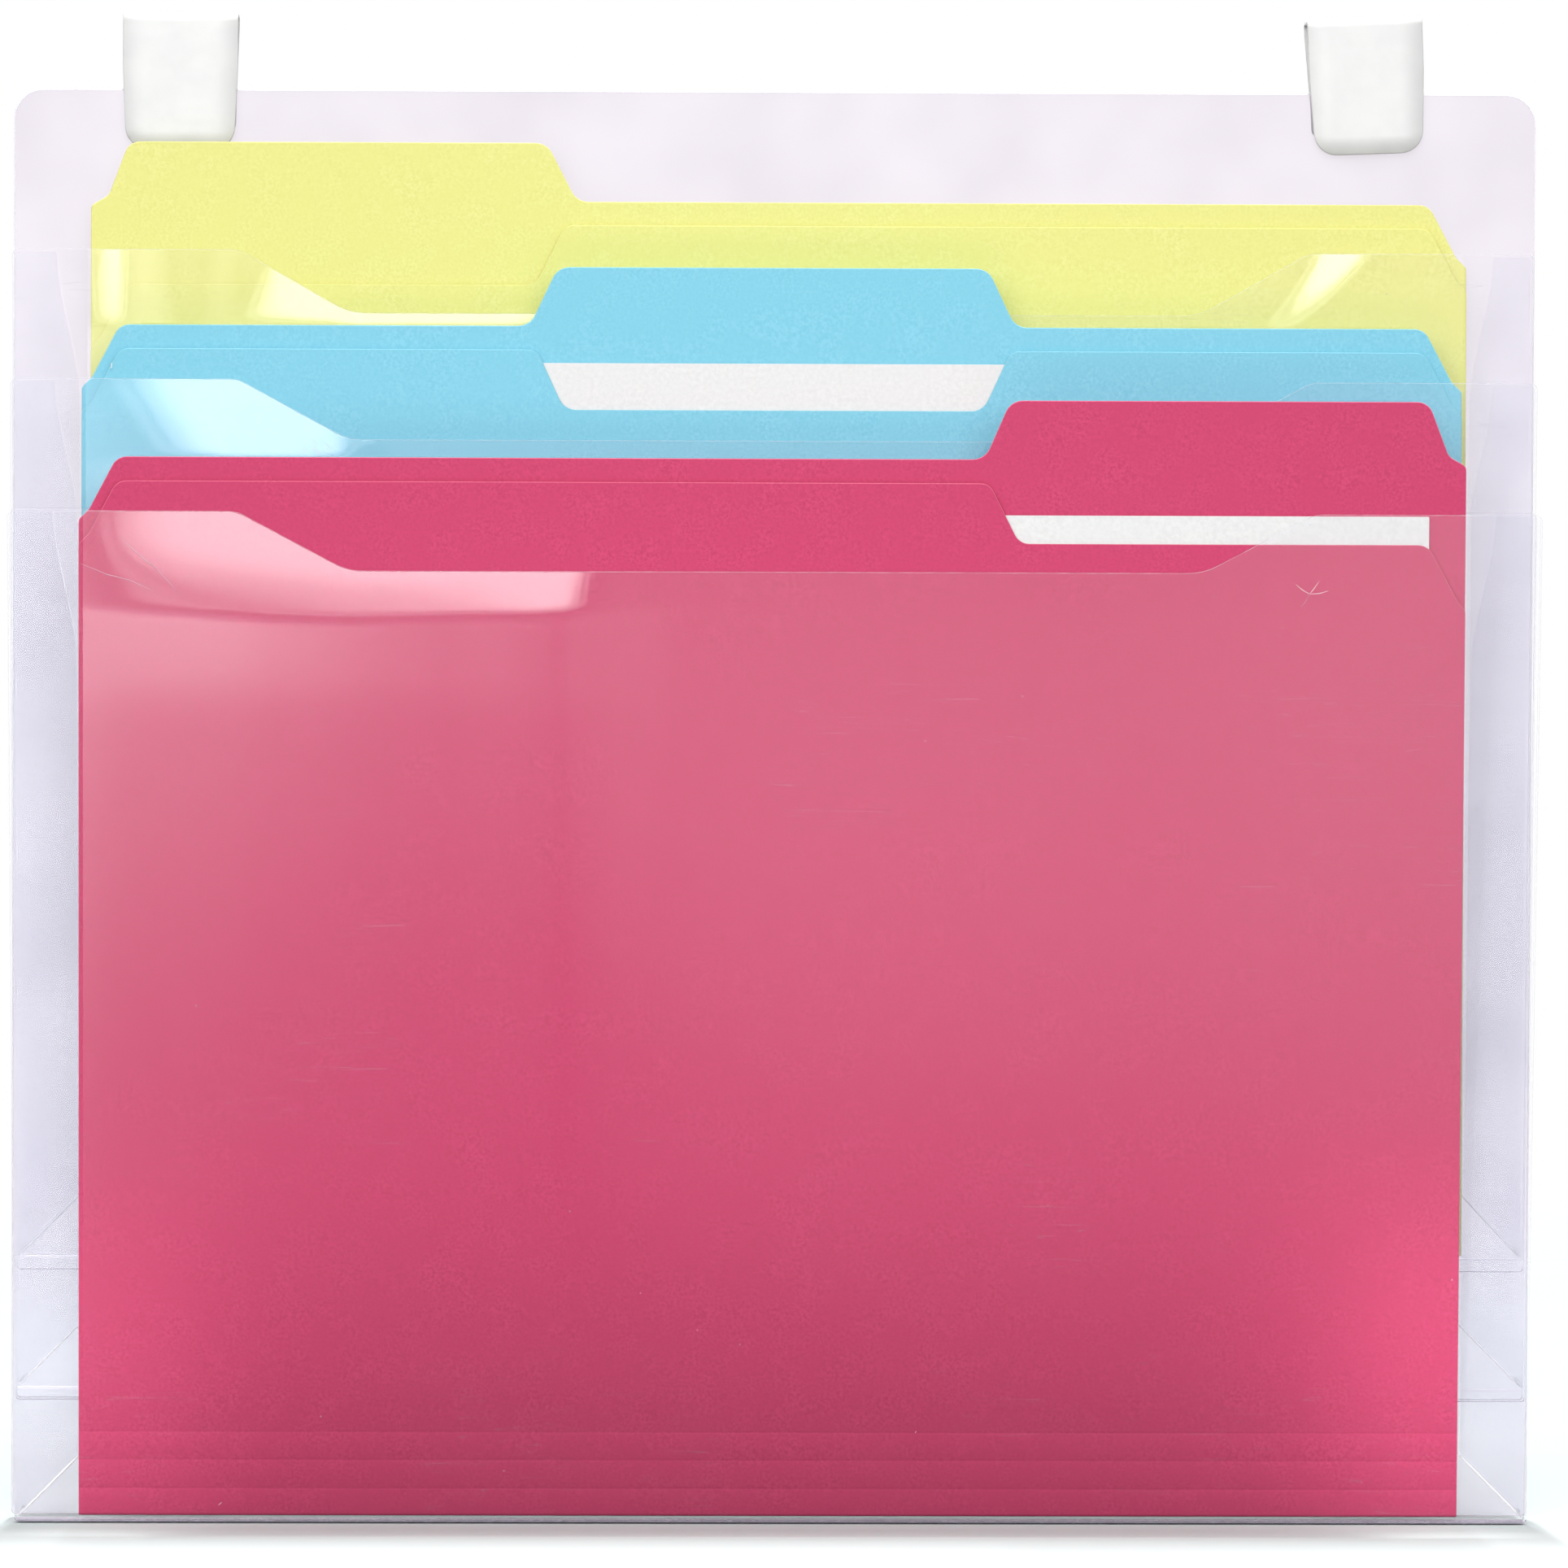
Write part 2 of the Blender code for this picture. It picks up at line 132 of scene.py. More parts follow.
WALL = Plane(0.0, 0.0, 0.0)
BEHIND, FRONTS = [], []
plane = WALL.moved(up=56.0 - PANEL_TOP, out=PANEL_T)
for k in range(3):
    if k:
        plane = FRONTS[-1].moved(up=-28.0, out=FRONT_T + GAP + BACK_T)
    BEHIND.append(plane)
    low, high = DEPTH[k]
    FRONTS.append(plane.moved(out=low, turn=math.atan2(high - low, POCKET_H)))

# ------------------------------------------------------------------ meshes


def rounded(points, steps=5):
    """Turns each (x, y, radius) corner of a closed outline into an arc."""
    out = []
    count = len(points)
    for i in range(count):
        p = Vector(points[i][:2])
        r = points[i][2]
        if r <= 0:
            out.append(p)
            continue
        u = (Vector(points[i - 1][:2]) - p).normalized()
        v = (Vector(points[(i + 1) % count][:2]) - p).normalized()
        half = u.angle(v) / 2
        reach = r / math.tan(half)
        centre = p + (u + v).normalized() * (r / math.sin(half))
        start = p + u * reach - centre
        end = p + v * reach - centre
        a0 = math.atan2(start.y, start.x)
        turn = (math.atan2(end.y, end.x) - a0 + math.pi) % (2 * math.pi) - math.pi
        for j in range(steps + 1):
            a = a0 + turn * j / steps
            out.append(centre + Vector((math.cos(a), math.sin(a))) * r)
    return [(p.x, p.y) for p in out]


def outward(loop):
    """Unit-offset vectors that grow a counter-clockwise loop by one."""
    p = np.asarray(loop, float)
    e0 = p - np.roll(p, 1, 0)
    e1 = np.roll(p, -1, 0) - p
    e0 /= np.linalg.norm(e0, axis=1)[:, None]
    e1 /= np.linalg.norm(e1, axis=1)[:, None]
    n0 = np.stack([e0[:, 1], -e0[:, 0]], 1)
    n1 = np.stack([e1[:, 1], -e1[:, 0]], 1)
    m = n0 + n1
    m /= np.linalg.norm(m, axis=1)[:, None]
    return m / np.clip((m * n0).sum(1), 0.5, 1.0)[:, None]


def ccw(loop):
    p = np.asarray(loop, float)
    q = np.roll(p, -1, 0)
    area = (p[:, 0] * q[:, 1] - q[:, 0] * p[:, 1]).sum()
    return p if area > 0 else p[::-1].copy()


def spread(low, high, step):
    n = max(1, round((high - low) / step))
    return [low + (high - low) * i / n for i in range(1, n)]


class Shape:
    """Vertices, faces and face materials gathered for one piece."""

    def __init__(self):
        self.v, self.f, self.m = [], [], []

    def add(self, verts, faces, slots):
        base = sum(len(a) for a in self.v)
        self.v.append(np.asarray(verts, float))
        self.f += [tuple(base + i for i in face) for face in faces]
        self.m += list(slots)

    def build(self, name, materials, sharp=24.0):
        mesh = bpy.data.meshes.new(name)
        mesh.from_pydata((np.concatenate(self.v) * MM).tolist(), [], self.f)
        for mat in materials:
            mesh.materials.append(mat)
        mesh.polygons.foreach_set("material_index", self.m)
        mesh.polygons.foreach_set("use_smooth", [True] * len(self.f))
        mesh.validate()
        mesh.set_sharp_from_angle(angle=rad(sharp))
        mesh.update()
        ob = bpy.data.objects.new(name, mesh)
        scene.collection.objects.link(ob)
        return ob


def sheet(
    shape,
    outline,
    xs,
    ys,
    thickness,
    place,
    height=None,
    low=0.0,
    bevel=0.2,
    drop=0.15,
    face=0,
    edge=1,
    foot=None,
    side=None,
):
    """Adds a sheet with eased edges. The outline is cut into cells along xs and
    ys, lifted by height(x, s), given a thickness and carried to its place."""
    outer = ccw(outline)
    inner = outer - outward(outer) * bevel
    bm = bmesh.new()
    bm.faces.new([bm.verts.new((x, y, 0.0)) for x, y in inner])
    for values, axis in ((ys, 1), (xs, 0)):
        for value in values:
            co, no = [0.0, 0.0, 0.0], [0.0, 0.0, 0.0]
            co[axis], no[axis] = value, 1.0
            bmesh.ops.bisect_plane(
                bm,
                geom=bm.verts[:] + bm.edges[:] + bm.faces[:],
                dist=1e-4,
                plane_co=co,
                plane_no=no,
            )
    bmesh.ops.triangulate(
        bm,
        faces=[f for f in bm.faces if len(f.verts) > 4],
        quad_method="BEAUTY",
        ngon_method="BEAUTY",
    )
    bm.verts.ensure_lookup_table()
    bm.verts.index_update()
    flat = np.array([v.co[:2] for v in bm.verts], float)
    faces = [[v.index for v in f.verts] for f in bm.faces]
    step = {}
    for e in bm.edges:
        if len(e.link_faces) == 1:
            for loop in e.link_faces[0].loops:
                if loop.edge == e:
                    step[loop.vert.index] = loop.link_loop_next.vert.index
    up = bm.faces[:][0].normal.z > 0 if bm.faces else True
    bm.free()
    first = next(iter(step))
    ring = [first]
    while step[ring[-1]] != first:
        ring.append(step[ring[-1]])
    if not up:
        faces = [f[::-1] for f in faces]
        ring = ring[::-1]
    rim = flat[ring] + outward(flat[ring]) * bevel
    h = height(flat[:, 0], flat[:, 1]) if height else np.zeros(len(flat))
    hr = height(rim[:, 0], rim[:, 1]) if height else np.zeros(len(rim))
    top, n = low + thickness, len(flat)
    drop = min(drop, thickness * 0.4)
    verts = np.concatenate(
        [
            np.column_stack([flat, top + h]),
            np.column_stack([flat, low + h]),
            np.column_stack([rim, top - drop + hr]),
            np.column_stack([rim, low + drop + hr]),
        ]
    )
    out = [tuple(f) for f in faces] + [tuple(n + i for i in f[::-1]) for f in faces]
    slots = [face] * len(out)
    if side is not None:
        for t, f in enumerate(faces):
            if abs(sum(flat[i, 0] for i in f) / len(f)) > side[0]:
                slots[t] = slots[len(faces) + t] = side[1]
    r = len(ring)
    for i in range(r):
        j = (i + 1) % r
        a, b = ring[i], ring[j]
        oa, ob, ua, ub = 2 * n + i, 2 * n + j, 2 * n + r + i, 2 * n + r + j
        out += [(a, oa, ob, b), (oa, ua, ub, ob), (ua, n + a, n + b, ub)]
        # bottom rim faces take the foot slot, which on the pocket sheets holds a dark skin of painted shade
        at_foot = foot is not None and max(rim[i][1], rim[j][1]) < 1.5
        slots += [foot if at_foot else edge] * 3
    shape.add(place(verts), out, slots)


def tube(shape, points, radius, slot=1, sides=6):
    """A thin closed bead along a line, such as a crease that has turned white."""
    p = np.asarray(points, float)
    rings = []
    for i in range(len(p)):
        t = p[min(i + 1, len(p) - 1)] - p[max(i - 1, 0)]
        t /= np.linalg.norm(t)
        a = np.cross(t, (0.3, 1.0, 0.2))
        a /= np.linalg.norm(a)
        b = np.cross(t, a)
        r = radius * (0.45 if i in (0, len(p) - 1) else 1.0)
        rings.append(
            [
                p[i]
                + (a * math.cos(2 * math.pi * k / sides) + b * math.sin(2 * math.pi * k / sides)) * r
                for k in range(sides)
            ]
        )
    faces = []
    for i in range(len(p) - 1):
        for k in range(sides):
            m = (k + 1) % sides
            faces.append((i * sides + k, (i + 1) * sides + k, (i + 1) * sides + m, i * sides + m))
    faces.append(tuple(range(sides)))
    faces.append(tuple((len(p) - 1) * sides + k for k in reversed(range(sides))))
    shape.add(np.concatenate(rings), faces, [slot] * len(faces))


# ------------------------------------------------------------------ materials


class Nodes:
    """Short hand for building a node tree."""

    def __init__(self, name):
        self.mat = bpy.data.materials.new(name)
        self.mat.use_nodes = True
        self.tree = self.mat.node_tree
        self.tree.nodes.clear()
        self.out = self.new("ShaderNodeOutputMaterial")

    def new(self, kind, **settings):
        node = self.tree.nodes.new(kind)
        for key, value in settings.items():
            setattr(node, key, value)
        return node

    def link(self, a, b):
        self.tree.links.new(a, b)

    def put(self, socket, value):
        if isinstance(value, bpy.types.NodeSocket):
            self.link(value, socket)
        else:
            socket.default_value = value

    def coords(self, scale=(1, 1, 1), turn=(0, 0, 0)):
        """The object's own coordinates, in millimetres times scale."""
        tc = self.new("ShaderNodeTexCoord")
        mp = self.new("ShaderNodeMapping")
        self.link(tc.outputs["Object"], mp.inputs["Vector"])
        mp.inputs["Rotation"].default_value = turn
        mp.inputs["Scale"].default_value = [s / MM for s in scale]
        return mp.outputs["Vector"]

    def noise(self, vector, scale=1.0, detail=3.0, rough=0.5, distortion=0.0):
        n = self.new("ShaderNodeTexNoise")
        self.link(vector, n.inputs["Vector"])
        n.inputs["Scale"].default_value = scale
        n.inputs["Detail"].default_value = detail
        n.inputs["Roughness"].default_value = rough
        n.inputs["Distortion"].default_value = distortion
        return n.outputs["Fac"]

    def spots(self, vector, scale, randomness=1.0):
        n = self.new("ShaderNodeTexVoronoi")
        self.link(vector, n.inputs["Vector"])
        n.inputs["Scale"].default_value = scale
        n.inputs["Randomness"].default_value = randomness
        return n

    def ramp(self, value, low, high, to_low=0.0, to_high=1.0, smooth=True):
        n = self.new("ShaderNodeMapRange")
        n.interpolation_type = "SMOOTHSTEP" if smooth else "LINEAR"
        self.put(n.inputs["Value"], value)
        n.inputs["From Min"].default_value = low
        n.inputs["From Max"].default_value = high
        n.inputs["To Min"].default_value = to_low
        n.inputs["To Max"].default_value = to_high
        return n.outputs["Result"]

    def math(self, op, a, b=0.0, c=0.0):
        n = self.new("ShaderNodeMath", operation=op)
        self.put(n.inputs[0], a)
        self.put(n.inputs[1], b)
        if op == "MULTIPLY_ADD":
            self.put(n.inputs[2], c)
        return n.outputs[0]

    def mix(self, fac, a, b):
        n = self.new("ShaderNodeMix", data_type="RGBA")
        self.put(n.inputs["Factor"], fac)
        self.put(n.inputs[6], a)
        self.put(n.inputs[7], b)
        return n.outputs[2]

    def bump(self, height, strength, distance):
        n = self.new("ShaderNodeBump")
        self.link(height, n.inputs["Height"])
        n.inputs["Strength"].default_value = strength
        n.inputs["Distance"].default_value = distance * MM
        return n.outputs["Normal"]

    def principled(self, colour, roughness, normal=None, **extra):
        n = self.new("ShaderNodeBsdfPrincipled")
        self.put(n.inputs["Base Color"], colour)
        self.put(n.inputs["Roughness"], roughness)
        for key, value in extra.items():
            self.put(n.inputs[key.replace("_", " ")], value)
        if normal is not None:
            self.link(normal, n.inputs["Normal"])
        return n.outputs[0]

    def shaders(self, fac, a, b):
        n = self.new("ShaderNodeMixShader")
        self.put(n.inputs[0], fac)
        self.link(a, n.inputs[1])
        self.link(b, n.inputs[2])
        return n.outputs[0]

    def done(self, shader):
        self.link(shader, self.out.inputs["Surface"])
        return self.mat


def rgb(r, g, b):
    """sRGB 0-255 to a linear colour."""
    lin = [
        v / 12.92 if v <= 0.04045 else ((v + 0.055) / 1.055) ** 2.4
        for v in (r / 255, g / 255, b / 255)
    ]
    return (*lin, 1.0)


def lin(r, g, b):
    return (r, g, b, 1.0)


def clear_plastic(name, tint, haze, haze_colours, gloss, cloud=45.0, worn=True, base=0.026, swing=0.25):
    """Thin clear polypropylene. Each face lets most light straight through, with
    a little milky haze that drifts in clouds, hair scratches and dust where it
    is handled, and reflects the studio as a smooth dielectric does."""
    m = Nodes(name)
    at = m.coords()
    clouds = m.noise(at, 1 / cloud, 2.0, 0.55)
    colour = m.mix(m.ramp(clouds, 0.35, 0.65, smooth=False), haze_colours[0], haze_colours[1])
    amount = m.ramp(clouds, 0.3, 0.7, (1 - swing) * haze, (1 + swing) * haze, smooth=False)
    if worn:
        fine = m.coords((0.02, 0.02, 0.9), (0.0, rad(57), 0.0))
        line = m.noise(fine, 1.0, 1.0, 0.4)
        line = m.ramp(m.math("ABSOLUTE", m.math("SUBTRACT", line, 0.5)), 0.0, 0.006, 1.0, 0.0, smooth=False)
        scratch = m.math("MULTIPLY", line, m.ramp(clouds, 0.52, 0.60, smooth=False))
        dot = m.spots(at, 1 / 17.0)
        speck = m.ramp(dot.outputs["Distance"], 0.006, 0.014, 1.0, 0.0, smooth=False)
        amount = m.math("MULTIPLY_ADD", scratch, 0.06, amount)
        amount = m.math("MULTIPLY_ADD", speck, 0.35, amount)
    clear = m.new("ShaderNodeBsdfTransparent")
    clear.inputs["Color"].default_value = tint
    milk = m.new("ShaderNodeBsdfDiffuse")
    m.link(colour, milk.inputs["Color"])
    body = m.shaders(amount, clear.outputs[0], milk.outputs[0])
    shine = m.new("ShaderNodeBsdfGlossy")
    shine.inputs["Color"].default_value = (1, 1, 1, 1)
    shine.inputs["Roughness"].default_value = gloss
    facing = m.new("ShaderNodeLayerWeight")
    facing.inputs["Blend"].default_value = 0.5
    grazing = m.math("POWER", facing.outputs["Facing"], 5.0)
    grazing = m.math("MULTIPLY_ADD", grazing, 0.6, base)
    return m.done(m.shaders(grazing, body, shine.outputs[0]))


def clear_edge(name, colour, opacity, pale=(0.96, 0.95, 0.98), swing=0.05):
    """A thin, partly clear skin of one colour, mottled towards a second. On the cut edge of a clear sheet, which
    carries light, its pale colour is painted glow for that light; in dark colours the same skin gives the painted
    shade of the sheet feet, the lowest floor strip and the crinkles, and in light colours the white creases and
    the dust.
    """
    m = Nodes(name)
    saw = m.noise(m.coords(), 0.3, 1.0, 0.6)
    amount = m.ramp(saw, 0.25, 0.75, opacity - swing, opacity + swing, smooth=False)
    clear = m.new("ShaderNodeBsdfTransparent")
    clear.inputs["Color"].default_value = (0.97, 0.97, 0.98, 1)
    tone = m.mix(saw, colour, lin(*pale))
    solid = m.principled(tone, 0.22, Specular_IOR_Level=0.6)
    return m.done(m.shaders(amount, clear.outputs[0], solid))


def card(name, colour, dark, light):
    """Dyed card: mottled pulp with short fibres and a matt, slightly felted face."""
    m = Nodes(name)
    at = m.coords()
    pulp = m.noise(at, 1.5, 3.0, 0.65)
    cloud = m.noise(at, 0.16, 3.0, 0.55)
    broad = m.noise(at, 0.018, 2.0, 0.5)
    fibre_a = m.noise(m.coords((0.22, 0.22, 2.6), (0.0, rad(25), 0.0)), 1.0, 2.0, 0.6)
    fibre_b = m.noise(m.coords((0.22, 0.22, 2.6), (0.0, rad(-58), 0.0)), 1.0, 2.0, 0.6)
    tone = m.mix(m.ramp(pulp, 0.3, 0.7), dark, light)
    tone = m.mix(m.ramp(cloud, 0.35, 0.65, 0.25, 0.75), tone, colour)
    tone = m.mix(m.ramp(broad, 0.3, 0.7, 0.0, 0.3), tone, colour)
    hair = m.math("MAXIMUM", m.ramp(fibre_a, 0.70, 0.78), m.ramp(fibre_b, 0.70, 0.78))
    tone = m.mix(m.math("MULTIPLY", hair, 0.35), tone, light)
    relief = m.math("MULTIPLY_ADD", hair, 0.4, pulp)
    rough = m.ramp(pulp, 0.3, 0.7, 0.72, 0.9)
    return m.done(
        m.principled(
            tone,
            rough,
            m.bump(relief, 0.35, 0.045),
            Specular_IOR_Level=0.18,
            Sheen_Weight=0.06,
            Sheen_Roughness=0.5,
        )
    )


def moulded(name, colour, shade, roughness, grain, depth):
    """Opaque white plastic with a fine moulded grain and slight warm clouds."""
    m = Nodes(name)
    at = m.coords()
    tone = m.mix(m.ramp(m.noise(at, 0.12, 3.0, 0.5), 0.3, 0.7), colour, shade)
    skin = m.noise(at, grain, 2.0, 0.6)
    scuff = m.noise(m.coords((0.15, 0.15, 1.8), (0.0, rad(12), 0.0)), 1.0, 2.0, 0.5)
    rough = m.ramp(m.math("MULTIPLY_ADD", scuff, 0.5, m.math("MULTIPLY", skin, 0.5)), 0.3, 0.7, roughness - 0.06, roughness + 0.08)
    return m.done(
        m.principled(
            tone,
            rough,
            m.bump(skin, 0.4, depth),
            Subsurface_Weight=0.15,
            Subsurface_Radius=(0.002, 0.002, 0.002),
            Subsurface_Scale=1.0,
        )
    )


def writing_paper(name):
    m = Nodes(name)
    at = m.coords()
    pulp = m.noise(at, 1.1, 3.0, 0.6)
    cloud = m.noise(at, 0.2, 2.0, 0.5)
    tone = m.mix(m.ramp(pulp, 0.3, 0.7), rgb(218, 219, 218), rgb(228, 229, 228))
    tone = m.mix(m.ramp(cloud, 0.3, 0.7, 0.0, 0.5), tone, rgb(223, 224, 224))
    return m.done(
        m.principled(tone, m.ramp(pulp, 0.3, 0.7, 0.75, 0.9), m.bump(pulp, 0.25, 0.03), Specular_IOR_Level=0.2)
    )


def foam(name):
    m = Nodes(name)
    at = m.coords()
    cells = m.spots(at, 2.4)
    # the cells are darker towards their hollows, painted shade in the pores
    shade = m.ramp(cells.outputs["Distance"], 0.0, 0.7)
    tone = m.mix(shade, rgb(214, 213, 208), rgb(240, 239, 236))
    return m.done(m.principled(tone, 0.85, m.bump(cells.outputs["Distance"], 0.6, 0.12), Specular_IOR_Level=0.15))


PP = clear_plastic(
    "pocket_clear", (0.996, 0.995, 0.998, 1), 0.005,
    (lin(0.88, 0.87, 0.93), lin(0.78, 0.78, 0.86)), 0.055,
)
# The front sheets' side strips, the back sheets and the gussets are the same plastic as the front sheets; their
# haze colours are painted darker and bluer, painted shade for the pocket sides and backs.
PP_SIDE_SHADED = clear_plastic(
    "pocket_clear_side_shaded", (0.995, 0.995, 0.998, 1), 0.007,
    (lin(0.74, 0.74, 0.82), lin(0.64, 0.65, 0.76)), 0.09, base=0.005,
)
PP_BACK_SHADED = clear_plastic(
    "pocket_back_clear_shaded", (0.995, 0.995, 0.998, 1), 0.013,
    (lin(0.74, 0.74, 0.81), lin(0.64, 0.65, 0.75)), 0.12, cloud=60.0, worn=False, base=0.005,
)
GUSSET_SHADED = clear_plastic(
    "gusset_clear_shaded", (0.995, 0.996, 0.999, 1), 0.022,
    (lin(0.66, 0.67, 0.76), lin(0.53, 0.55, 0.67)), 0.14, cloud=30.0, worn=False, base=0.004,
)
PANEL = clear_plastic(
    "panel_frosted", (0.958, 0.934, 0.962, 1), 0.12,
    (lin(0.70, 0.635, 0.74), lin(0.53, 0.475, 0.59)), 0.45, cloud=38.0, worn=False, base=0.008, swing=0.35,
)
# pale edge colours: painted glow for the light carried by the cut edges of the sheets and the panel
EDGE_GLOW = clear_edge("sheet_edge_painted_glow", lin(0.80, 0.79, 0.86), 0.13)
PANEL_EDGE_GLOW = clear_edge("panel_edge_painted_glow", lin(0.90, 0.87, 0.93), 0.55)
CREASE = clear_edge("crease_white", lin(0.98, 0.97, 0.99), 0.89)
# dark skins for the bottom rims of the pocket sheets and the lowest floor strip: painted shade for the dark gap
# under the red card
FOOT_SHADE = clear_edge("sheet_foot_painted_shade", lin(0.36, 0.32, 0.40), 0.42, (0.52, 0.47, 0.57))
FLOOR_SHADE = clear_edge("pocket_floor_painted_shade", lin(0.24, 0.19, 0.26), 0.80, (0.34, 0.28, 0.37))
# dark lines for the crinkles in the front sheets: painted shade along the creases
CRINKLE_SHADE = clear_edge("crinkle_painted_shade", lin(0.42, 0.36, 0.40), 0.45)
DUST = clear_edge("dust_white", lin(0.86, 0.86, 0.84), 0.85)
DUST_WARM = clear_edge("dust_warm", lin(0.62, 0.30, 0.10), 0.85)
WHITE = moulded("hanger_white", rgb(208, 209, 207), rgb(202, 203, 202), 0.42, 2.2, 0.02)
FOAM = foam("pad_foam")
YELLOW = card("card_yellow_pulp", lin(0.745, 0.735, 0.238), lin(0.685, 0.675, 0.20), lin(0.81, 0.80, 0.315))
BLUE = card("card_blue_pulp", lin(0.212, 0.57, 0.715), lin(0.17, 0.515, 0.665), lin(0.275, 0.64, 0.78))
RED = card("card_red_pulp", lin(0.56, 0.051, 0.141), lin(0.49, 0.038, 0.113), lin(0.65, 0.075, 0.182))
# Copies of the card material for the folders' edge faces: red's is paler, a painted highlight line along its
# edges; yellow's and blue's are darker than their faces, painted shade that keeps their lit edges faint.
YELLOW_EDGE_SHADE = card("card_yellow_edge_painted_shade", lin(0.66, 0.65, 0.22), lin(0.62, 0.61, 0.20), lin(0.71, 0.70, 0.27))
BLUE_EDGE_SHADE = card("card_blue_edge_painted_shade", lin(0.215, 0.50, 0.61), lin(0.18, 0.46, 0.57), lin(0.26, 0.55, 0.66))
RED_EDGE_HIGHLIGHT = card("card_red_edge_painted_highlight", lin(0.60, 0.11, 0.19), lin(0.54, 0.085, 0.16), lin(0.67, 0.16, 0.25))
PAPER = writing_paper("paper_white")

# ------------------------------------------------------------------ pieces


def finish(ob, body, slot, *nodes):
    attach(ob, body)
    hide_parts(*nodes)
    return ob


def smooth(t):
    t = np.clip(t, 0, 1)
    return t * t * (3 - 2 * t)


# back panel
shape = Shape()
half = PANEL_W / 2
sheet(
    shape,
    rounded([(half, -PANEL_TOP, 1.0), (half + 0.8, PANEL_TOP, PANEL_R), (-half, PANEL_TOP, PANEL_R), (-half, -PANEL_TOP, 1.0)], 10),
    spread(-half, half, 12.0),
    spread(-PANEL_TOP, PANEL_TOP, 12.0),
    PANEL_T,
    WALL.place,
    bevel=0.3,
    drop=0.25,
)
finish(shape.build("panel_sheet", [PANEL, PANEL_EDGE_GLOW]), "panel", "panel_plastic", "back_panel")


# hangers: one bent strip each, laid out flat and then bent along its line
def bent_line(points, steps=8):
    """(y, z, radius) corners to a dense centre line with its running length."""
    line = []
    for i, point in enumerate(points):
        p, r = Vector(point[:2]), point[2]
        if i in (0, len(points) - 1) or r <= 0:
            line.append(p)
            continue
        u = (Vector(points[i - 1][:2]) - p).normalized()
        v = (Vector(points[i + 1][:2]) - p).normalized()
        h = u.angle(v) / 2
        centre = p + (u + v).normalized() * (r / math.sin(h))
        start, end = p + u * (r / math.tan(h)) - centre, p + v * (r / math.tan(h)) - centre
        a0 = math.atan2(start.y, start.x)
        turn = (math.atan2(end.y, end.x) - a0 + math.pi) % (2 * math.pi) - math.pi
        for j in range(steps + 1):
            a = a0 + turn * j / steps
            line.append(centre + Vector((math.cos(a), math.sin(a))) * r)
    p = np.array([tuple(q) for q in line])
    u = np.concatenate([[0.0], np.cumsum(np.linalg.norm(np.diff(p, axis=0), axis=1))])
    return p, u


def bent_place(points, x0, lean=0.0, pivot=PANEL_TOP):
    line, run = bent_line(points)
    tangent = np.gradient(line, run, axis=0)
    tangent /= np.linalg.norm(tangent, axis=1)[:, None]

    def place(p):
        y = np.interp(p[:, 1], run, line[:, 0])
        z = np.interp(p[:, 1], run, line[:, 1])
        ty = np.interp(p[:, 1], run, tangent[:, 0])
        tz = np.interp(p[:, 1], run, tangent[:, 1])
        size = np.hypot(ty, tz)
        ty, tz = ty / size, tz / size
        y, z = y - tz * p[:, 2], z + ty * p[:, 2]
        x = p[:, 0]
        c, s = math.cos(lean), math.sin(lean)
        return np.stack([x0 + x * c + (z - pivot) * s, y, pivot + (z - pivot) * c - x * s], 1)

    return place, run[-1]


FOOT_Z = PANEL_TOP - 13.2
for side, sign, lean in (("left", -1, rad(0.25)), ("right", 1, rad(-2.2))):
    x0 = sign * HANGER_X
    w = HANGER_W / 2
    place, length = bent_place(
        [(TONGUE_Y, FOOT_Z, 0), (TONGUE_Y, HOOK_TOP, 1.2), (5.4, HOOK_TOP, 0)], x0, lean
    )
    shape = Shape()
    sheet(
        shape,
        rounded([(w - 0.8, 0.0, 5.0), (w, 18.2, 0), (w, length, 0), (-w, length, 0), (-w, 18.2, 0), (0.8 - w, 0.0, 5.0)], 8),
        spread(-w, w, 5.0),
        spread(0, 27.5, 4.0) + spread(27.5, 31.0, 0.3) + [33.0],
        HANGER_T,
        place,
        low=-HANGER_T / 2,
        bevel=0.22,
        drop=0.2,
        edge=0,
    )
    finish(shape.build("hanger_strip_" + side, [WHITE], 50), "panel", "hanger_plastic", "hanger_" + side)

    place, length = bent_place(
        [(5.4, HOOK_TOP, 0), (HOOK_REAR, HOOK_TOP, 1.2), (3.5, PANEL_TOP - 3.0, 3.0), (5.6, PANEL_TOP - 9.0, 0)], x0, lean
    )
    shape = Shape()
    sheet(
        shape,
        rounded([(w - 0.6, length, 2.0), (0.6 - w, length, 2.0), (-w, 6.0, 0), (-w, 0.0, 0), (w, 0.0, 0), (w, 6.0, 0)], 6),
        spread(-w, w, 5.0),
        spread(0, 3.0, 0.5) + spread(3.0, 5.5, 0.25) + spread(5.5, length, 1.2),
        HANGER_T,
        place,
        low=-HANGER_T / 2,
        bevel=0.22,
        drop=0.2,
        edge=0,
    )
    leg = shape.build("hanger_spring_" + side, [WHITE], 50)
    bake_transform(leg)
    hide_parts("hanger_leg_" + side)

    shape = Shape()
    sheet(
        shape,
        rounded([(x0 + 10.5, 144.5, 1.5), (x0 + 10.5, 154.0, 1.5), (x0 - 10.5, 154.0, 1.5), (x0 - 10.5, 144.5, 1.5)], 5),
        spread(x0 - 10.5, x0 + 10.5, 3.0),
        spread(144.5, 154.0, 3.0),
        PAD_T,
        WALL.place,
        low=PANEL_T + GAP,
        bevel=0.1,
        drop=0.1,
        edge=0,
    )
    finish(shape.build("foam_pad_" + side, [FOAM]), "panel", "adhesive_pad", "hanger_pad_" + side)


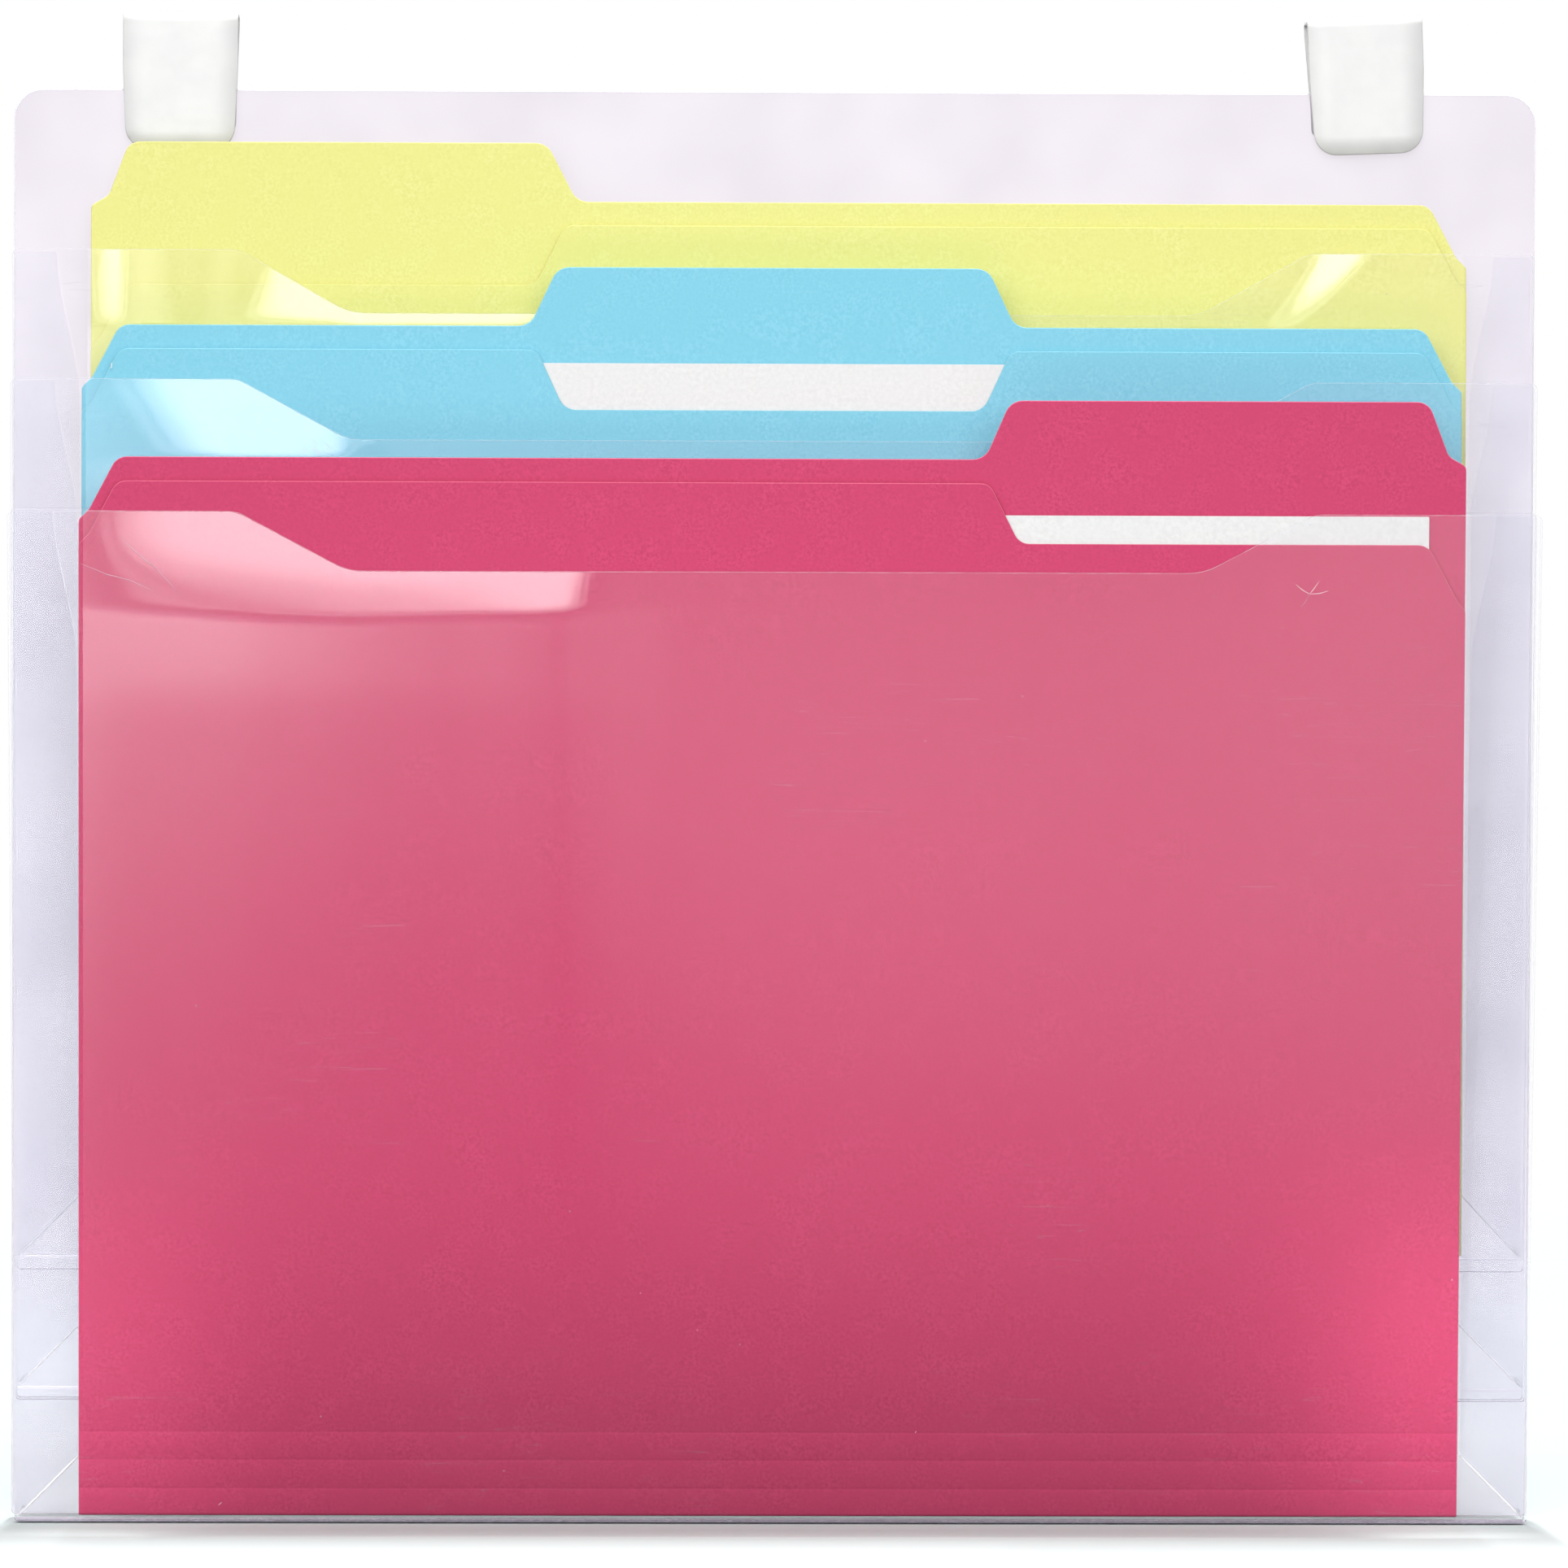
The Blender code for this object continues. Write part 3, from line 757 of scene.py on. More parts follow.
# pockets
def pocket_outline(hem, scoop=0.0):
    low = PANEL_W / 2 - DRAW_IN
    right = [(low, -hem, 0.8), (PANEL_W / 2, POCKET_H, 1.5)]
    if scoop:
        right += [(SCOOP_OUTER, POCKET_H, 8.0), (SCOOP_INNER, POCKET_H - scoop, 14.0)]
    left = [(-x, y, r) for x, y, r in reversed(right)]
    return rounded(right + left, 8)


def bend_off(s, start, soft):
    """Level up to start, then falling away with a slope that grows to one."""
    t = (s - start) / soft
    return soft * np.where(t <= 0, 0.0, np.where(t < 1, t**3 - t**4 / 2, t - 0.5))


def through(x, px, py):
    """A smooth curve through the given points."""
    px, py = np.asarray(px, float), np.asarray(py, float)
    slope = np.gradient(py, px)
    i = np.clip(np.searchsorted(px, x) - 1, 0, len(px) - 2)
    w = px[i + 1] - px[i]
    t = np.clip((x - px[i]) / w, 0, 1)
    u = 1 - t
    value = (1 + 2 * t) * u * u * py[i] + t * t * (3 - 2 * t) * py[i + 1]
    return value + t * u * u * w * slope[i] - t * t * u * w * slope[i + 1]


# How far each front sheet stands off its plane. The sheets are limp: the free
# rims roll back towards the folders, most of all at the left ear.
def curl_upper(x, s):
    h = 0.012 * bend_off(s, 193.0, 8.0)
    h = h + 0.020 * bend_off(s, 191.0, 4.0) * (smooth((x - 60) / 30) + smooth((-122 - x) / 10))
    ear = smooth((x + 113 + (219 - s) * 0.25) / 9.0 + 0.3) * (1 - smooth((x + 93) / 6.0))
    h = h - (0.036 + 0.020 * smooth((x + 112) / 18)) * bend_off(s, 202.0, 3.0) * ear
    lip = smooth((x + 96) / 8.0) * (1 - smooth((x + 57) / 14.0))
    h = h - 0.050 * bend_off(s, 202.0, 1.5) * lip
    strip = smooth((x + 153) / 9.0) * (1 - smooth((x + 141.0) / 2.6))
    h = h - 0.058 * bend_off(s, 199.0, 6.0) * strip
    centre = 118.5 - (219 - s) * 0.62
    return h - 0.047 * bend_off(s, 199.0, 5.0) * np.exp(-(((x - centre) / 7.5) ** 2))


def curl_middle(x, s):
    ear = smooth((x + 160 - (219 - s) * 0.25) / 40.0) * (1 - 0.75 * smooth((x + 98) / 12.0))
    ear = ear * smooth((140 - x) / 60)
    h = 0.15 * smooth((s - 150) / 40) + 0.078 * bend_off(s, 190.0, 2.0)
    return ear * (h - 0.142 * bend_off(s, 199.0, 4.0))


CURL_X = (-165, -150, -140, -134, -128, -118, -104, -90, -77, -68, -50, -45, -40, -34, 0, 60, 105, 165)
CURL_A = (0, 0.50, 0.80, 0.87, 0.915, 0.955, 0.985, 1.0, 0.985, 0.965, 0.93, 0.91, 0.79, 0.63, 0.32, 0.24, 0.18, 0)
CREST = (3.0, 3.0, 2.4, 2.0, 1.6, 1.0, 0.2, 0.0, 0.4, 0.8, 1.2, 1.5, 2.2, 2.6, 2.6, 2.6, 2.6, 2.6)
LIP_X = (-165, -76, -66, -56, -48, -42.2, -39.0, -34, 0, 165)
LIP_A = (1.0, 1.0, 1.05, 1.11, 1.15, 1.15, 0.84, 0.76, 0.8, 1.0)


def curl_lower(x, s):
    crest = 3.2 + through(x, CURL_X, CREST)
    h = 2.4 * (s / 192.0) - 0.016 * bend_off(s, 172.0, 24.0)
    h = h - 0.100 * through(x, LIP_X, LIP_A) * bend_off(s, 190.0 + crest, 4.0)
    return through(x, CURL_X, CURL_A) * (h - 0.016 * bend_off(s, 195.0 + crest, 14.0))


CURLS = (curl_upper, curl_middle, curl_lower)
FINE_X = spread(-165, -88, 2.0) + spread(-88, -30, 3.0) + spread(-30, 88, 6.5) + spread(88, 165, 2.6)
FINE_S = spread(0, 150, 12.0) + spread(150, 186, 4.0) + spread(186, 219, 1.1)

# hair creases and dust seen on the front sheets: slot, radius, (x, s) points; slot 3 draws a crease as a dark
# line, painted shade
MARKS = (
    ((5, 0.22, ((132.75, 210.2), (133.05, 210.4))),),
    (
        (3, 0.07, ((-100.5, 206.5), (-99.2, 205.2), (-99.8, 203.9), (-98.2, 203.2), (-98.6, 201.6))),
        (3, 0.06, ((-97.4, 205.4), (-96.2, 204.3), (-96.8, 203.1), (-95.4, 202.6))),
        (3, 0.06, ((-102.6, 204.9), (-101.4, 204.1), (-101.9, 202.8))),
    ),
    (
        (3, 0.075, ((-140.8, 213.2), (-136.9, 209.7), (-133.4, 206.9), (-128.3, 201.4))),
        (3, 0.065, ((-149.2, 207.5), (-143.6, 205.3), (-138.8, 204.1), (-133.6, 201.7))),
        (4, 0.06, ((112.0, 203.9), (113.4, 202.7), (114.9, 201.9))),
        (4, 0.055, ((116.9, 204.6), (115.9, 203.1), (114.9, 201.9))),
        (4, 0.055, ((119.0, 202.6), (117.0, 202.0), (114.9, 201.9))),
        (3, 0.05, ((113.2, 199.2), (114.3, 200.6), (114.9, 201.9))),
        (4, 0.13, ((-53.2, 194.3), (-52.9, 194.4))),
        (4, 0.12, ((-28.6, 49.9), (-28.4, 50.1))),
        (4, 0.12, ((-16.3, 41.9), (-16.1, 42.0))),
        (4, 0.10, ((-119.6, 3.6), (-118.9, 4.2))),
        (3, 0.10, ((21.4, 72.7), (21.6, 72.8))),
        (4, 0.09, ((31.0, 19.6), (31.3, 20.0))),
    ),
)

for k, name in enumerate(NAMES):
    behind, front = BEHIND[k], FRONTS[k]
    low, high = DEPTH[k]
    if k:
        shape = Shape()
        sheet(
            shape, pocket_outline(HEM[k]), spread(-165, 165, 15.0), spread(0, 219, 15.0),
            BACK_T, behind.place, low=-BACK_T, bevel=0.18, drop=0.14, foot=2,
        )
        finish(
            shape.build("back_sheet_" + name, [PP_BACK_SHADED, EDGE_GLOW, FOOT_SHADE]),
            BODIES[k], "pocket_plastic", "pocket_back_" + name,
        )

    # floor strip; the lowest pocket's strip and its rim wear dark skins, painted shade
    wide = PANEL_W / 2 - DRAW_IN - 0.4
    shape = Shape()
    sheet(
        shape,
        rounded([(wide, GAP, 0.5), (wide, low - GAP, 0.5), (-wide, low - GAP, 0.5), (-wide, GAP, 0.5)], 3),
        spread(-wide, wide, 20.0),
        [2.5],
        FLOOR_T,
        lambda p, b=behind: b.place(np.stack([p[:, 0], p[:, 2], p[:, 1]], 1)),
        bevel=0.15,
        drop=0.12,
    )
    finish(
        shape.build("floor_strip_" + name, [FLOOR_SHADE if k == 2 else PP_BACK_SHADED, FOOT_SHADE if k == 2 else EDGE_GLOW]),
        BODIES[k], "pocket_plastic", "pocket_floor_" + name,
    )

    # pleated gussets
    for side, sign in (("left", -1), ("right", 1)):
        # the yellow folder sits 1.1 mm to the right, so that pleat is pressed flatter
        pleat = PLEAT - (0.8 if k == 0 and side == "right" else 0.0)

        def half_at(s):
            return PANEL_W / 2 - DRAW_IN * (1 - s / POCKET_H) - 0.4

        def depth_at(s):
            return low + (high - low) * s / POCKET_H

        def in_at(s):
            if s <= MITRE:
                return 0.35 + (pleat - 0.35) * (s - 0.875) / (MITRE - 0.875)
            open_top = smooth(np.array((s - (POCKET_H - 34)) / 34.0)) * 5.0
            return pleat - float(open_top)

        rows = [0.875, 3.0, 6.0, 9.0, 12.0, MITRE, 18.0, 30.0] + spread(30, POCKET_H - 36, 18.0) + spread(POCKET_H - 36, POCKET_H - 0.6, 4.0) + [POCKET_H - 0.6]
        grid = []
        edge = GAP + GUSSET_T / 2
        for s in rows:
            d, x = depth_at(s), half_at(s)
            fold = max(0.35 * d, edge + 0.9)
            inward = in_at(s)
            line = [(x, edge), (x - inward * 0.5, edge + (fold - edge) * 0.46), (x - inward + 0.5, fold - 0.42)]
            line += [(x - inward + 0.05, fold - 0.2), (x - inward, fold), (x - inward + 0.05, fold + 0.2)]
            line += [(x - inward + 0.5, fold + 0.42), (x - inward * 0.5, fold + (d - edge - fold) * 0.54), (x, d - edge)]
            grid.append([(sign * a, s, b) for a, b in line])
        g = np.array(grid)
        du = np.gradient(g, axis=0)
        dv = np.gradient(g, axis=1)
        nrm = np.cross(du, dv)
        nrm /= np.linalg.norm(nrm, axis=2)[:, :, None]
        a, b = g + nrm * GUSSET_T / 2, g - nrm * GUSSET_T / 2
        nr, nc = g.shape[:2]
        verts = np.concatenate([a.reshape(-1, 3), b.reshape(-1, 3)])
        total = nr * nc
        faces, slots = [], []
        for i in range(nr - 1):
            for j in range(nc - 1):
                q = (i * nc + j, i * nc + j + 1, (i + 1) * nc + j + 1, (i + 1) * nc + j)
                faces += [q, tuple(total + t for t in q[::-1])]
                slots += [0, 0]
        rim = [(0, j) for j in range(nc)] + [(i, nc - 1) for i in range(1, nr)]
        rim += [(nr - 1, j) for j in range(nc - 2, -1, -1)] + [(i, 0) for i in range(nr - 2, 0, -1)]
        for t in range(len(rim)):
            p, q = rim[t], rim[(t + 1) % len(rim)]
            p, q = p[0] * nc + p[1], q[0] * nc + q[1]
            faces.append((q, p, total + p, total + q))
            slots.append(1)
        shape = Shape()
        shape.add(behind.place(verts), faces, slots)
        # stress-whitened creases along the mitre and the lower part of the fold
        mitre = [g[i, 4] for i in range(6)]
        tube(shape, behind.place(np.array([q + (0, 0, 0.3) for q in mitre])), 0.24 if k == 2 else 0.16, 2)
        ob = shape.build(f"side_gusset_{name}_{side}", [GUSSET_SHADED, EDGE_GLOW, CREASE])
        mid = Plane(behind.y, behind.z, (behind.tilt + front.tilt) / 2)
        o = mid.out()
        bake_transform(ob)
        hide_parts(f"gusset_{name}_{side}")

    # faces beyond |x| = 149.6 take slot 6, the side copy of the plastic whose darker haze is painted shade
    shape = Shape()
    sheet(
        shape, pocket_outline(HEM[k], SCOOP[k]), FINE_X, FINE_S, FRONT_T, front.place,
        height=CURLS[k], bevel=0.2, drop=0.16, foot=2, side=(149.6, 6),
    )
    for slot, radius, points in MARKS[k]:
        p = np.array(points, float)
        lift = CURLS[k](p[:, 0], p[:, 1]) + FRONT_T
        tube(shape, front.place(np.column_stack([p, lift])), radius, slot, 5)
    finish(
        shape.build("front_sheet_" + name, [PP, EDGE_GLOW, FOOT_SHADE, CRINKLE_SHADE, DUST, DUST_WARM, PP_SIDE_SHADED]),
        BODIES[k + 1], "pocket_plastic", "pocket_front_" + name,
    )


# folders: each is one card, laid out flat with its fold on u = 0, then folded
def leaf_top(tab, back):
    h = FOLDER_W / 2
    if back:
        left_cut = [(-141.0, BODY_TOP, 3.5), (-147.0, 217.2, 2.5), (-h, 215.0, 1.5)]
        right_cut = [(h, 215.0, 1.5), (147.0, 217.2, 2.5), (141.0, BODY_TOP, 3.5)]
        if tab == "left":
            return right_cut + [(-44.0, BODY_TOP, 4.0), (-50.5, TAB_TOP, 4.0), (-141.0, TAB_TOP, 3.5), (-145.4, 229.6, 3.0), (-h, 227.4, 1.5)]
        if tab == "right":
            return [(h, 227.4, 1.5), (145.4, 229.6, 3.0), (141.0, TAB_TOP, 3.5), (51.0, TAB_TOP, 4.0), (45.5, BODY_TOP, 4.0)] + left_cut
        return right_cut + [(52.5, BODY_TOP, 4.0), (46.5, TAB_TOP, 4.0), (-46.5, TAB_TOP, 4.0), (-52.5, BODY_TOP, 4.0)] + left_cut
    drop = BODY_TOP - FLAP_TOP
    left_cut = [(-141.0, FLAP_TOP, 3.5), (-147.0, 217.2 - drop, 2.5), (-h, 215.0 - drop, 1.5)]
    right_cut = [(-x, y, r) for x, y, r in reversed(left_cut)]
    if tab == "left":
        return right_cut + [(-46.5, FLAP_TOP, 3.0), (-53.0, NOTCH, 3.5), (-141.0, NOTCH, 3.5), (-147.4, 198.6, 2.5), (-h, 196.4, 1.5)]
    if tab == "right":
        return [(h, 196.4, 1.5), (147.4, 198.6, 2.5), (141.0, NOTCH, 3.5), (53.0, NOTCH, 3.5), (46.5, FLAP_TOP, 3.0)] + left_cut
    return right_cut + [(51.5, FLAP_TOP, 3.0), (45.5, NOTCH, 4.0), (-45.0, NOTCH, 4.0), (-51.0, FLAP_TOP, 3.0)] + left_cut


FOLD_R = (2 * CARD_T + LEAF_GAP) / 2 - CARD_T / 2
FOLD_U = FOLD_R * math.pi / 2
FOLD_S = FOLD_R + CARD_T / 2


def folded(pocket, x0):
    """Flat card coordinates (x, u, n) to the folded card in its pocket."""

    def place(p):
        x, u, w = p[:, 0] + x0, p[:, 1], p[:, 2]
        a = np.clip(u / FOLD_R, -math.pi / 2, math.pi / 2)
        past = np.maximum(np.abs(u) - FOLD_U, 0.0)
        n = -FOLD_S + np.sin(a) * (FOLD_R + w)
        s = FOLD_S - np.cos(a) * (FOLD_R + w) + past
        return pocket.place(np.stack([x, s, n], 1))

    return place


def add_folder(name, tab, x0, rise, k, mat, cut, chips=(), sag=0.0):
    pocket = FRONTS[k].moved(up=rise, out=-0.4)
    lift = FOLD_U - FOLD_S + sag
    front = [(x, y + lift, r) for x, y, r in leaf_top(tab, False)]
    back = [(x, -y - lift, r) for x, y, r in reversed(leaf_top(tab, True))]
    scores = []
    for s in (5.3, 11.5, 17.6):
        u = s + lift
        scores += [u - 0.5, u - 0.22, u, u + 0.22, u + 0.5]
    ys = [FOLD_U * t for t in (-1, -0.75, -0.5, -0.25, 0, 0.25, 0.5, 0.75, 1)]
    ys += scores + spread(20.0, FLAP_TOP, 13.0) + spread(-BODY_TOP, -2.0, 15.0)

    def height(x, u):
        h = np.zeros_like(x)
        for s in (5.3, 11.5, 17.6):
            h -= 0.09 * np.clip(1 - np.abs(u - s - lift) / 0.42, 0, 1)
        return h

    shape = Shape()
    sheet(
        shape, rounded(front + back, 5), spread(-FOLDER_W / 2, FOLDER_W / 2, 11.0), sorted(ys),
        CARD_T, folded(pocket, x0), height=height, low=-CARD_T / 2, bevel=0.14, drop=0.1,
    )
    for points in chips:
        tube(shape, pocket.place(np.array(points, float)), 0.26, 2, 6)
    # the rim faces take the edge copy of the card: a painted highlight line on red, painted shade on yellow and
    # blue
    ob = shape.build("card_folder_" + name, [mat, cut, DUST], 25)
    finish(
        ob, name + "_folder", "card_" + name,
        f"folder_{name}_back_leaf", f"folder_{name}_front_leaf", f"folder_{name}_fold",
    )


add_folder("yellow", "left", 1.1, 1.0, 0, YELLOW, YELLOW_EDGE_SHADE)
add_folder("blue", "middle", -0.5, 2.0, 1, BLUE, BLUE_EDGE_SHADE, (((-143.3, 219.1, 0.30), (-143.2, 220.3, 0.30)),))
add_folder("red", "right", -0.6, 1.2, 2, RED, RED_EDGE_HIGHLIGHT, (), 0.7)


def add_paper(name, x0, rise, k):
    pocket = FRONTS[k].moved(up=rise)
    shape = Shape()
    for i, (dx, ds, turn) in enumerate(((0.0, 0.0, 0.0), (-0.35, -0.5, 0.0012))):
        w, h = PAPER_W / 2, PAPER_H
        corners = [(w, 0.0, 0.3), (w, h, 0.3), (-w, h, 0.3), (-w, 0.0, 0.3)]
        corners = [(x0 + x + dx - turn * y, y + turn * x + ds, r) for x, y, r in corners]
        sheet(
            shape, rounded(corners, 3), spread(-w, w, 30.0), spread(0, h, 30.0), 0.1, pocket.place,
            low=-1.2 + (0.15 if not i else 0.0), bevel=0.05, drop=0.04, edge=0,
        )
    finish(shape.build("sheets_" + name, [PAPER]), name + "_paper", "white_paper", "paper_" + name)


add_paper("blue", 0.4, 6.7, 1)
add_paper("red", 1.0, 2.6, 2)

# ------------------------------------------------------------------ stage

FLOOR_Z = -0.1557
bm = bmesh.new()
rings = [0.0, 0.12, 0.25, 0.4, 0.6, 0.9, 1.3, 1.8, 2.4]
last = [bm.verts.new((0, 0, FLOOR_Z))]
for r in rings[1:]:
    ring = [bm.verts.new((r * math.cos(2 * math.pi * i / 96), r * math.sin(2 * math.pi * i / 96), FLOOR_Z)) for i in range(96)]
    for i in range(96):
        j = (i + 1) % 96
        if len(last) == 1:
            bm.faces.new((last[0], ring[i], ring[j]))
        else:
            bm.faces.new((last[i], ring[i], ring[j], last[j]))
    last = ring
mesh = bpy.data.meshes.new("floor")
bm.to_mesh(mesh)
bm.free()
floor = bpy.data.objects.new("floor", mesh)
scene.collection.objects.link(floor)
m = Nodes("floor_sweep")
at = m.coords((1, 1, 0))
length = m.new("ShaderNodeVectorMath", operation="LENGTH")
m.link(at, length.inputs[0])
fade = m.ramp(length.outputs["Value"], 450.0, 1500.0, 0.0, 1.0)
tone = m.mix(m.noise(m.coords(), 0.02, 2.0), lin(0.505, 0.55, 0.545), lin(0.49, 0.535, 0.53))
clear = m.new("ShaderNodeBsdfTransparent")
solid = m.principled(tone, 0.9, Specular_IOR_Level=0.0)
mesh.materials.append(m.done(m.shaders(fade, solid, clear.outputs[0])))
floor.visible_glossy = False
floor.visible_diffuse = False
floor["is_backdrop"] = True

# world: white behind everything, a soft studio gradient for the light
world = bpy.data.worlds.new("studio")
scene.world = world
world.use_nodes = True
t = world.node_tree
t.nodes.clear()
out = t.nodes.new("ShaderNodeOutputWorld")


def wnode(kind, **settings):
    n = t.nodes.new(kind)
    for key, value in settings.items():
        setattr(n, key, value)
    return n


tc = wnode("ShaderNodeTexCoord")
sep = wnode("ShaderNodeSeparateXYZ")
t.links.new(tc.outputs["Generated"], sep.inputs[0])


def wramp(low, high, a, b):
    n = wnode("ShaderNodeMapRange", interpolation_type="SMOOTHSTEP")
    t.links.new(sep.outputs["Z"], n.inputs["Value"])
    n.inputs["From Min"].default_value = low
    n.inputs["From Max"].default_value = high
    n.inputs["To Min"].default_value = a
    n.inputs["To Max"].default_value = b
    return n.outputs["Result"]


fill = wnode("ShaderNodeBackground")
fill.inputs["Color"].default_value = (1.0, 0.995, 1.0, 1)
t.links.new(wramp(-0.15, 0.15, 0.24, 0.52), fill.inputs["Strength"])
mirror = wnode("ShaderNodeBackground")
mirror.inputs["Color"].default_value = (0.985, 0.985, 1.0, 1)


def table(points):
    """A greyscale curve over the ray's height Z: (z, value up to 5) points."""
    place = wnode("ShaderNodeMapRange", interpolation_type="LINEAR")
    t.links.new(sep.outputs["Z"], place.inputs["Value"])
    place.inputs["From Min"].default_value = -0.25
    place.inputs["From Max"].default_value = 0.25
    node = wnode("ShaderNodeValToRGB")
    t.links.new(place.outputs["Result"], node.inputs["Fac"])
    ramp = node.color_ramp
    while len(ramp.elements) < len(points):
        ramp.elements.new(0.5)
    for element, (z, value) in zip(ramp.elements, points):
        element.position = (z + 0.25) / 0.5
    for element, (z, value) in zip(ramp.elements, points):
        element.color = (value / 5, value / 5, value / 5, 1)
    return node.outputs["Color"]


def along_x(x0, x1, a, b):
    n = wnode("ShaderNodeMapRange", interpolation_type="LINEAR")
    t.links.new(sep.outputs["X"], n.inputs["Value"])
    for key, value in (("From Min", x0), ("From Max", x1), ("To Min", a), ("To Max", b)):
        n.inputs[key].default_value = value
    return n.outputs["Result"]


def wmath(op, a, b):
    n = wnode("ShaderNodeMath", operation=op)
    for socket, value in zip(n.inputs, (a, b)):
        if isinstance(value, bpy.types.NodeSocket):
            t.links.new(value, socket)
        else:
            socket.default_value = value
    return n.outputs[0]


middle = table(((-0.211, 0.0), (-0.203, 0.1), (-0.193, 0.27), (-0.183, 0.75), (-0.172, 1.15), (-0.159, 1.35), (-0.07, 1.2), (0.0, 1.0)))
flank = table(((-0.228, 0.0), (-0.217, 0.25), (-0.205, 0.6), (-0.186, 1.1), (-0.176, 1.4), (-0.166, 1.9), (-0.156, 3.4), (-0.12, 4.5), (-0.06, 1.9), (0.0, 1.0)))
left = wmath("ADD", along_x(-0.036, -0.022, 0.45, 0.0), along_x(-0.022, 0.02, 0.5, 0.0))
beside = wmath("ADD", left, along_x(0.055, 0.08, 0.0, 0.08))
total = wmath("ADD", middle, wmath("MULTIPLY", flank, beside))
t.links.new(wmath("MULTIPLY", total, 5.0), mirror.inputs["Strength"])
plain = wnode("ShaderNodeBackground")
plain.inputs["Color"].default_value = (1, 1, 1, 1)
plain.inputs["Strength"].default_value = 1.0
path = wnode("ShaderNodeLightPath")
mix1 = wnode("ShaderNodeMixShader")
mix2 = wnode("ShaderNodeMixShader")
t.links.new(path.outputs["Is Glossy Ray"], mix1.inputs[0])
t.links.new(fill.outputs[0], mix1.inputs[1])
t.links.new(mirror.outputs[0], mix1.inputs[2])
t.links.new(path.outputs["Is Camera Ray"], mix2.inputs[0])
t.links.new(mix1.outputs[0], mix2.inputs[1])
t.links.new(plain.outputs[0], mix2.inputs[2])
t.links.new(mix2.outputs[0], out.inputs["Surface"])


def area(name, size, radiance, location, rotation, colour=(1, 1, 1)):
    data = bpy.data.lights.new(name, "AREA")
    data.shape = "RECTANGLE"
    data.size, data.size_y = size
    data.energy = radiance * math.pi * size[0] * size[1]
    data.color = colour
    ob = bpy.data.objects.new(name, data)
    ob.location = location
    ob.rotation_euler = rotation
    ob.visible_camera = False
    scene.collection.objects.link(ob)
    return ob


area("key", (4.0, 2.4), 2.8, (-0.2, -3.0, 1.36), (rad(90), 0, 0)).visible_glossy = False
area("front_top", (1.6, 0.8), 4.0, (-0.1, -1.0, 1.7), (rad(30), 0, 0)).visible_glossy = False
# what the clear sheets mirror: the same soft box with a brighter heart
for name, size, radiance, y, x, z in (
    ("key_face", (4.0, 2.44), 2.2, -3.0, -0.2, 1.34),
    ("key_face_soft", (4.0, 2.38), 2.0, -3.01, -0.2, 1.37),
    ("key_face_high", (4.0, 2.30), 2.0, -3.02, -0.2, 1.41),
    ("key_middle", (1.15, 0.72), 2.1, -2.985, -0.325, 0.545),
    ("key_heart", (1.15, 0.68), 2.2, -2.97, -0.325, 0.57),
):
    area(name, size, radiance, (x, y, z), (rad(90), 0, 0)).visible_diffuse = False
for x, radiance in ((-0.146, 1.15), (0.144, 1.9)):
    low_side = area("low_side", (0.03, 0.055), radiance, (x, -0.055, -0.122), (rad(90), 0, 0))
    low_side.visible_glossy = False
area("low_front", (0.30, 0.10), 1.0, (0.0, -0.22, -0.055), (rad(90), 0, 0)).visible_glossy = False
area("top", (0.12, 3.9), 1230.0, (0.0, 1.95, 12.0), (0, 0, 0)).visible_glossy = False

# A graded net stands close before the lower middle, out of the camera's sight,
# and takes the light off the bottom of the lowest pocket as in the photograph.
bm = bmesh.new()
corners = [(-0.134, -0.152), (0.131, -0.152), (0.131, -0.068), (-0.134, -0.068)]
bm.faces.new([bm.verts.new((x, -0.056, z)) for x, z in corners])
mesh = bpy.data.meshes.new("net")
bm.to_mesh(mesh)
bm.free()
net = bpy.data.objects.new("net", mesh)
scene.collection.objects.link(net)
m = Nodes("net_cloth")
up = m.new("ShaderNodeSeparateXYZ")
m.link(m.coords(), up.inputs[0])
weave = m.noise(m.coords(), 0.8, 2.0)
amount = m.math("MULTIPLY", m.ramp(up.outputs["Z"], -148.0, -74.0, 0.50, 0.0, smooth=False), m.ramp(weave, 0.3, 0.7, 0.95, 1.05))
clear = m.new("ShaderNodeBsdfTransparent")
cloth = m.principled(m.mix(weave, lin(0.04, 0.04, 0.04), lin(0.07, 0.07, 0.07)), 0.95)
mesh.materials.append(m.done(m.shaders(amount, clear.outputs[0], cloth)))
net.visible_camera = False
net.visible_glossy = False
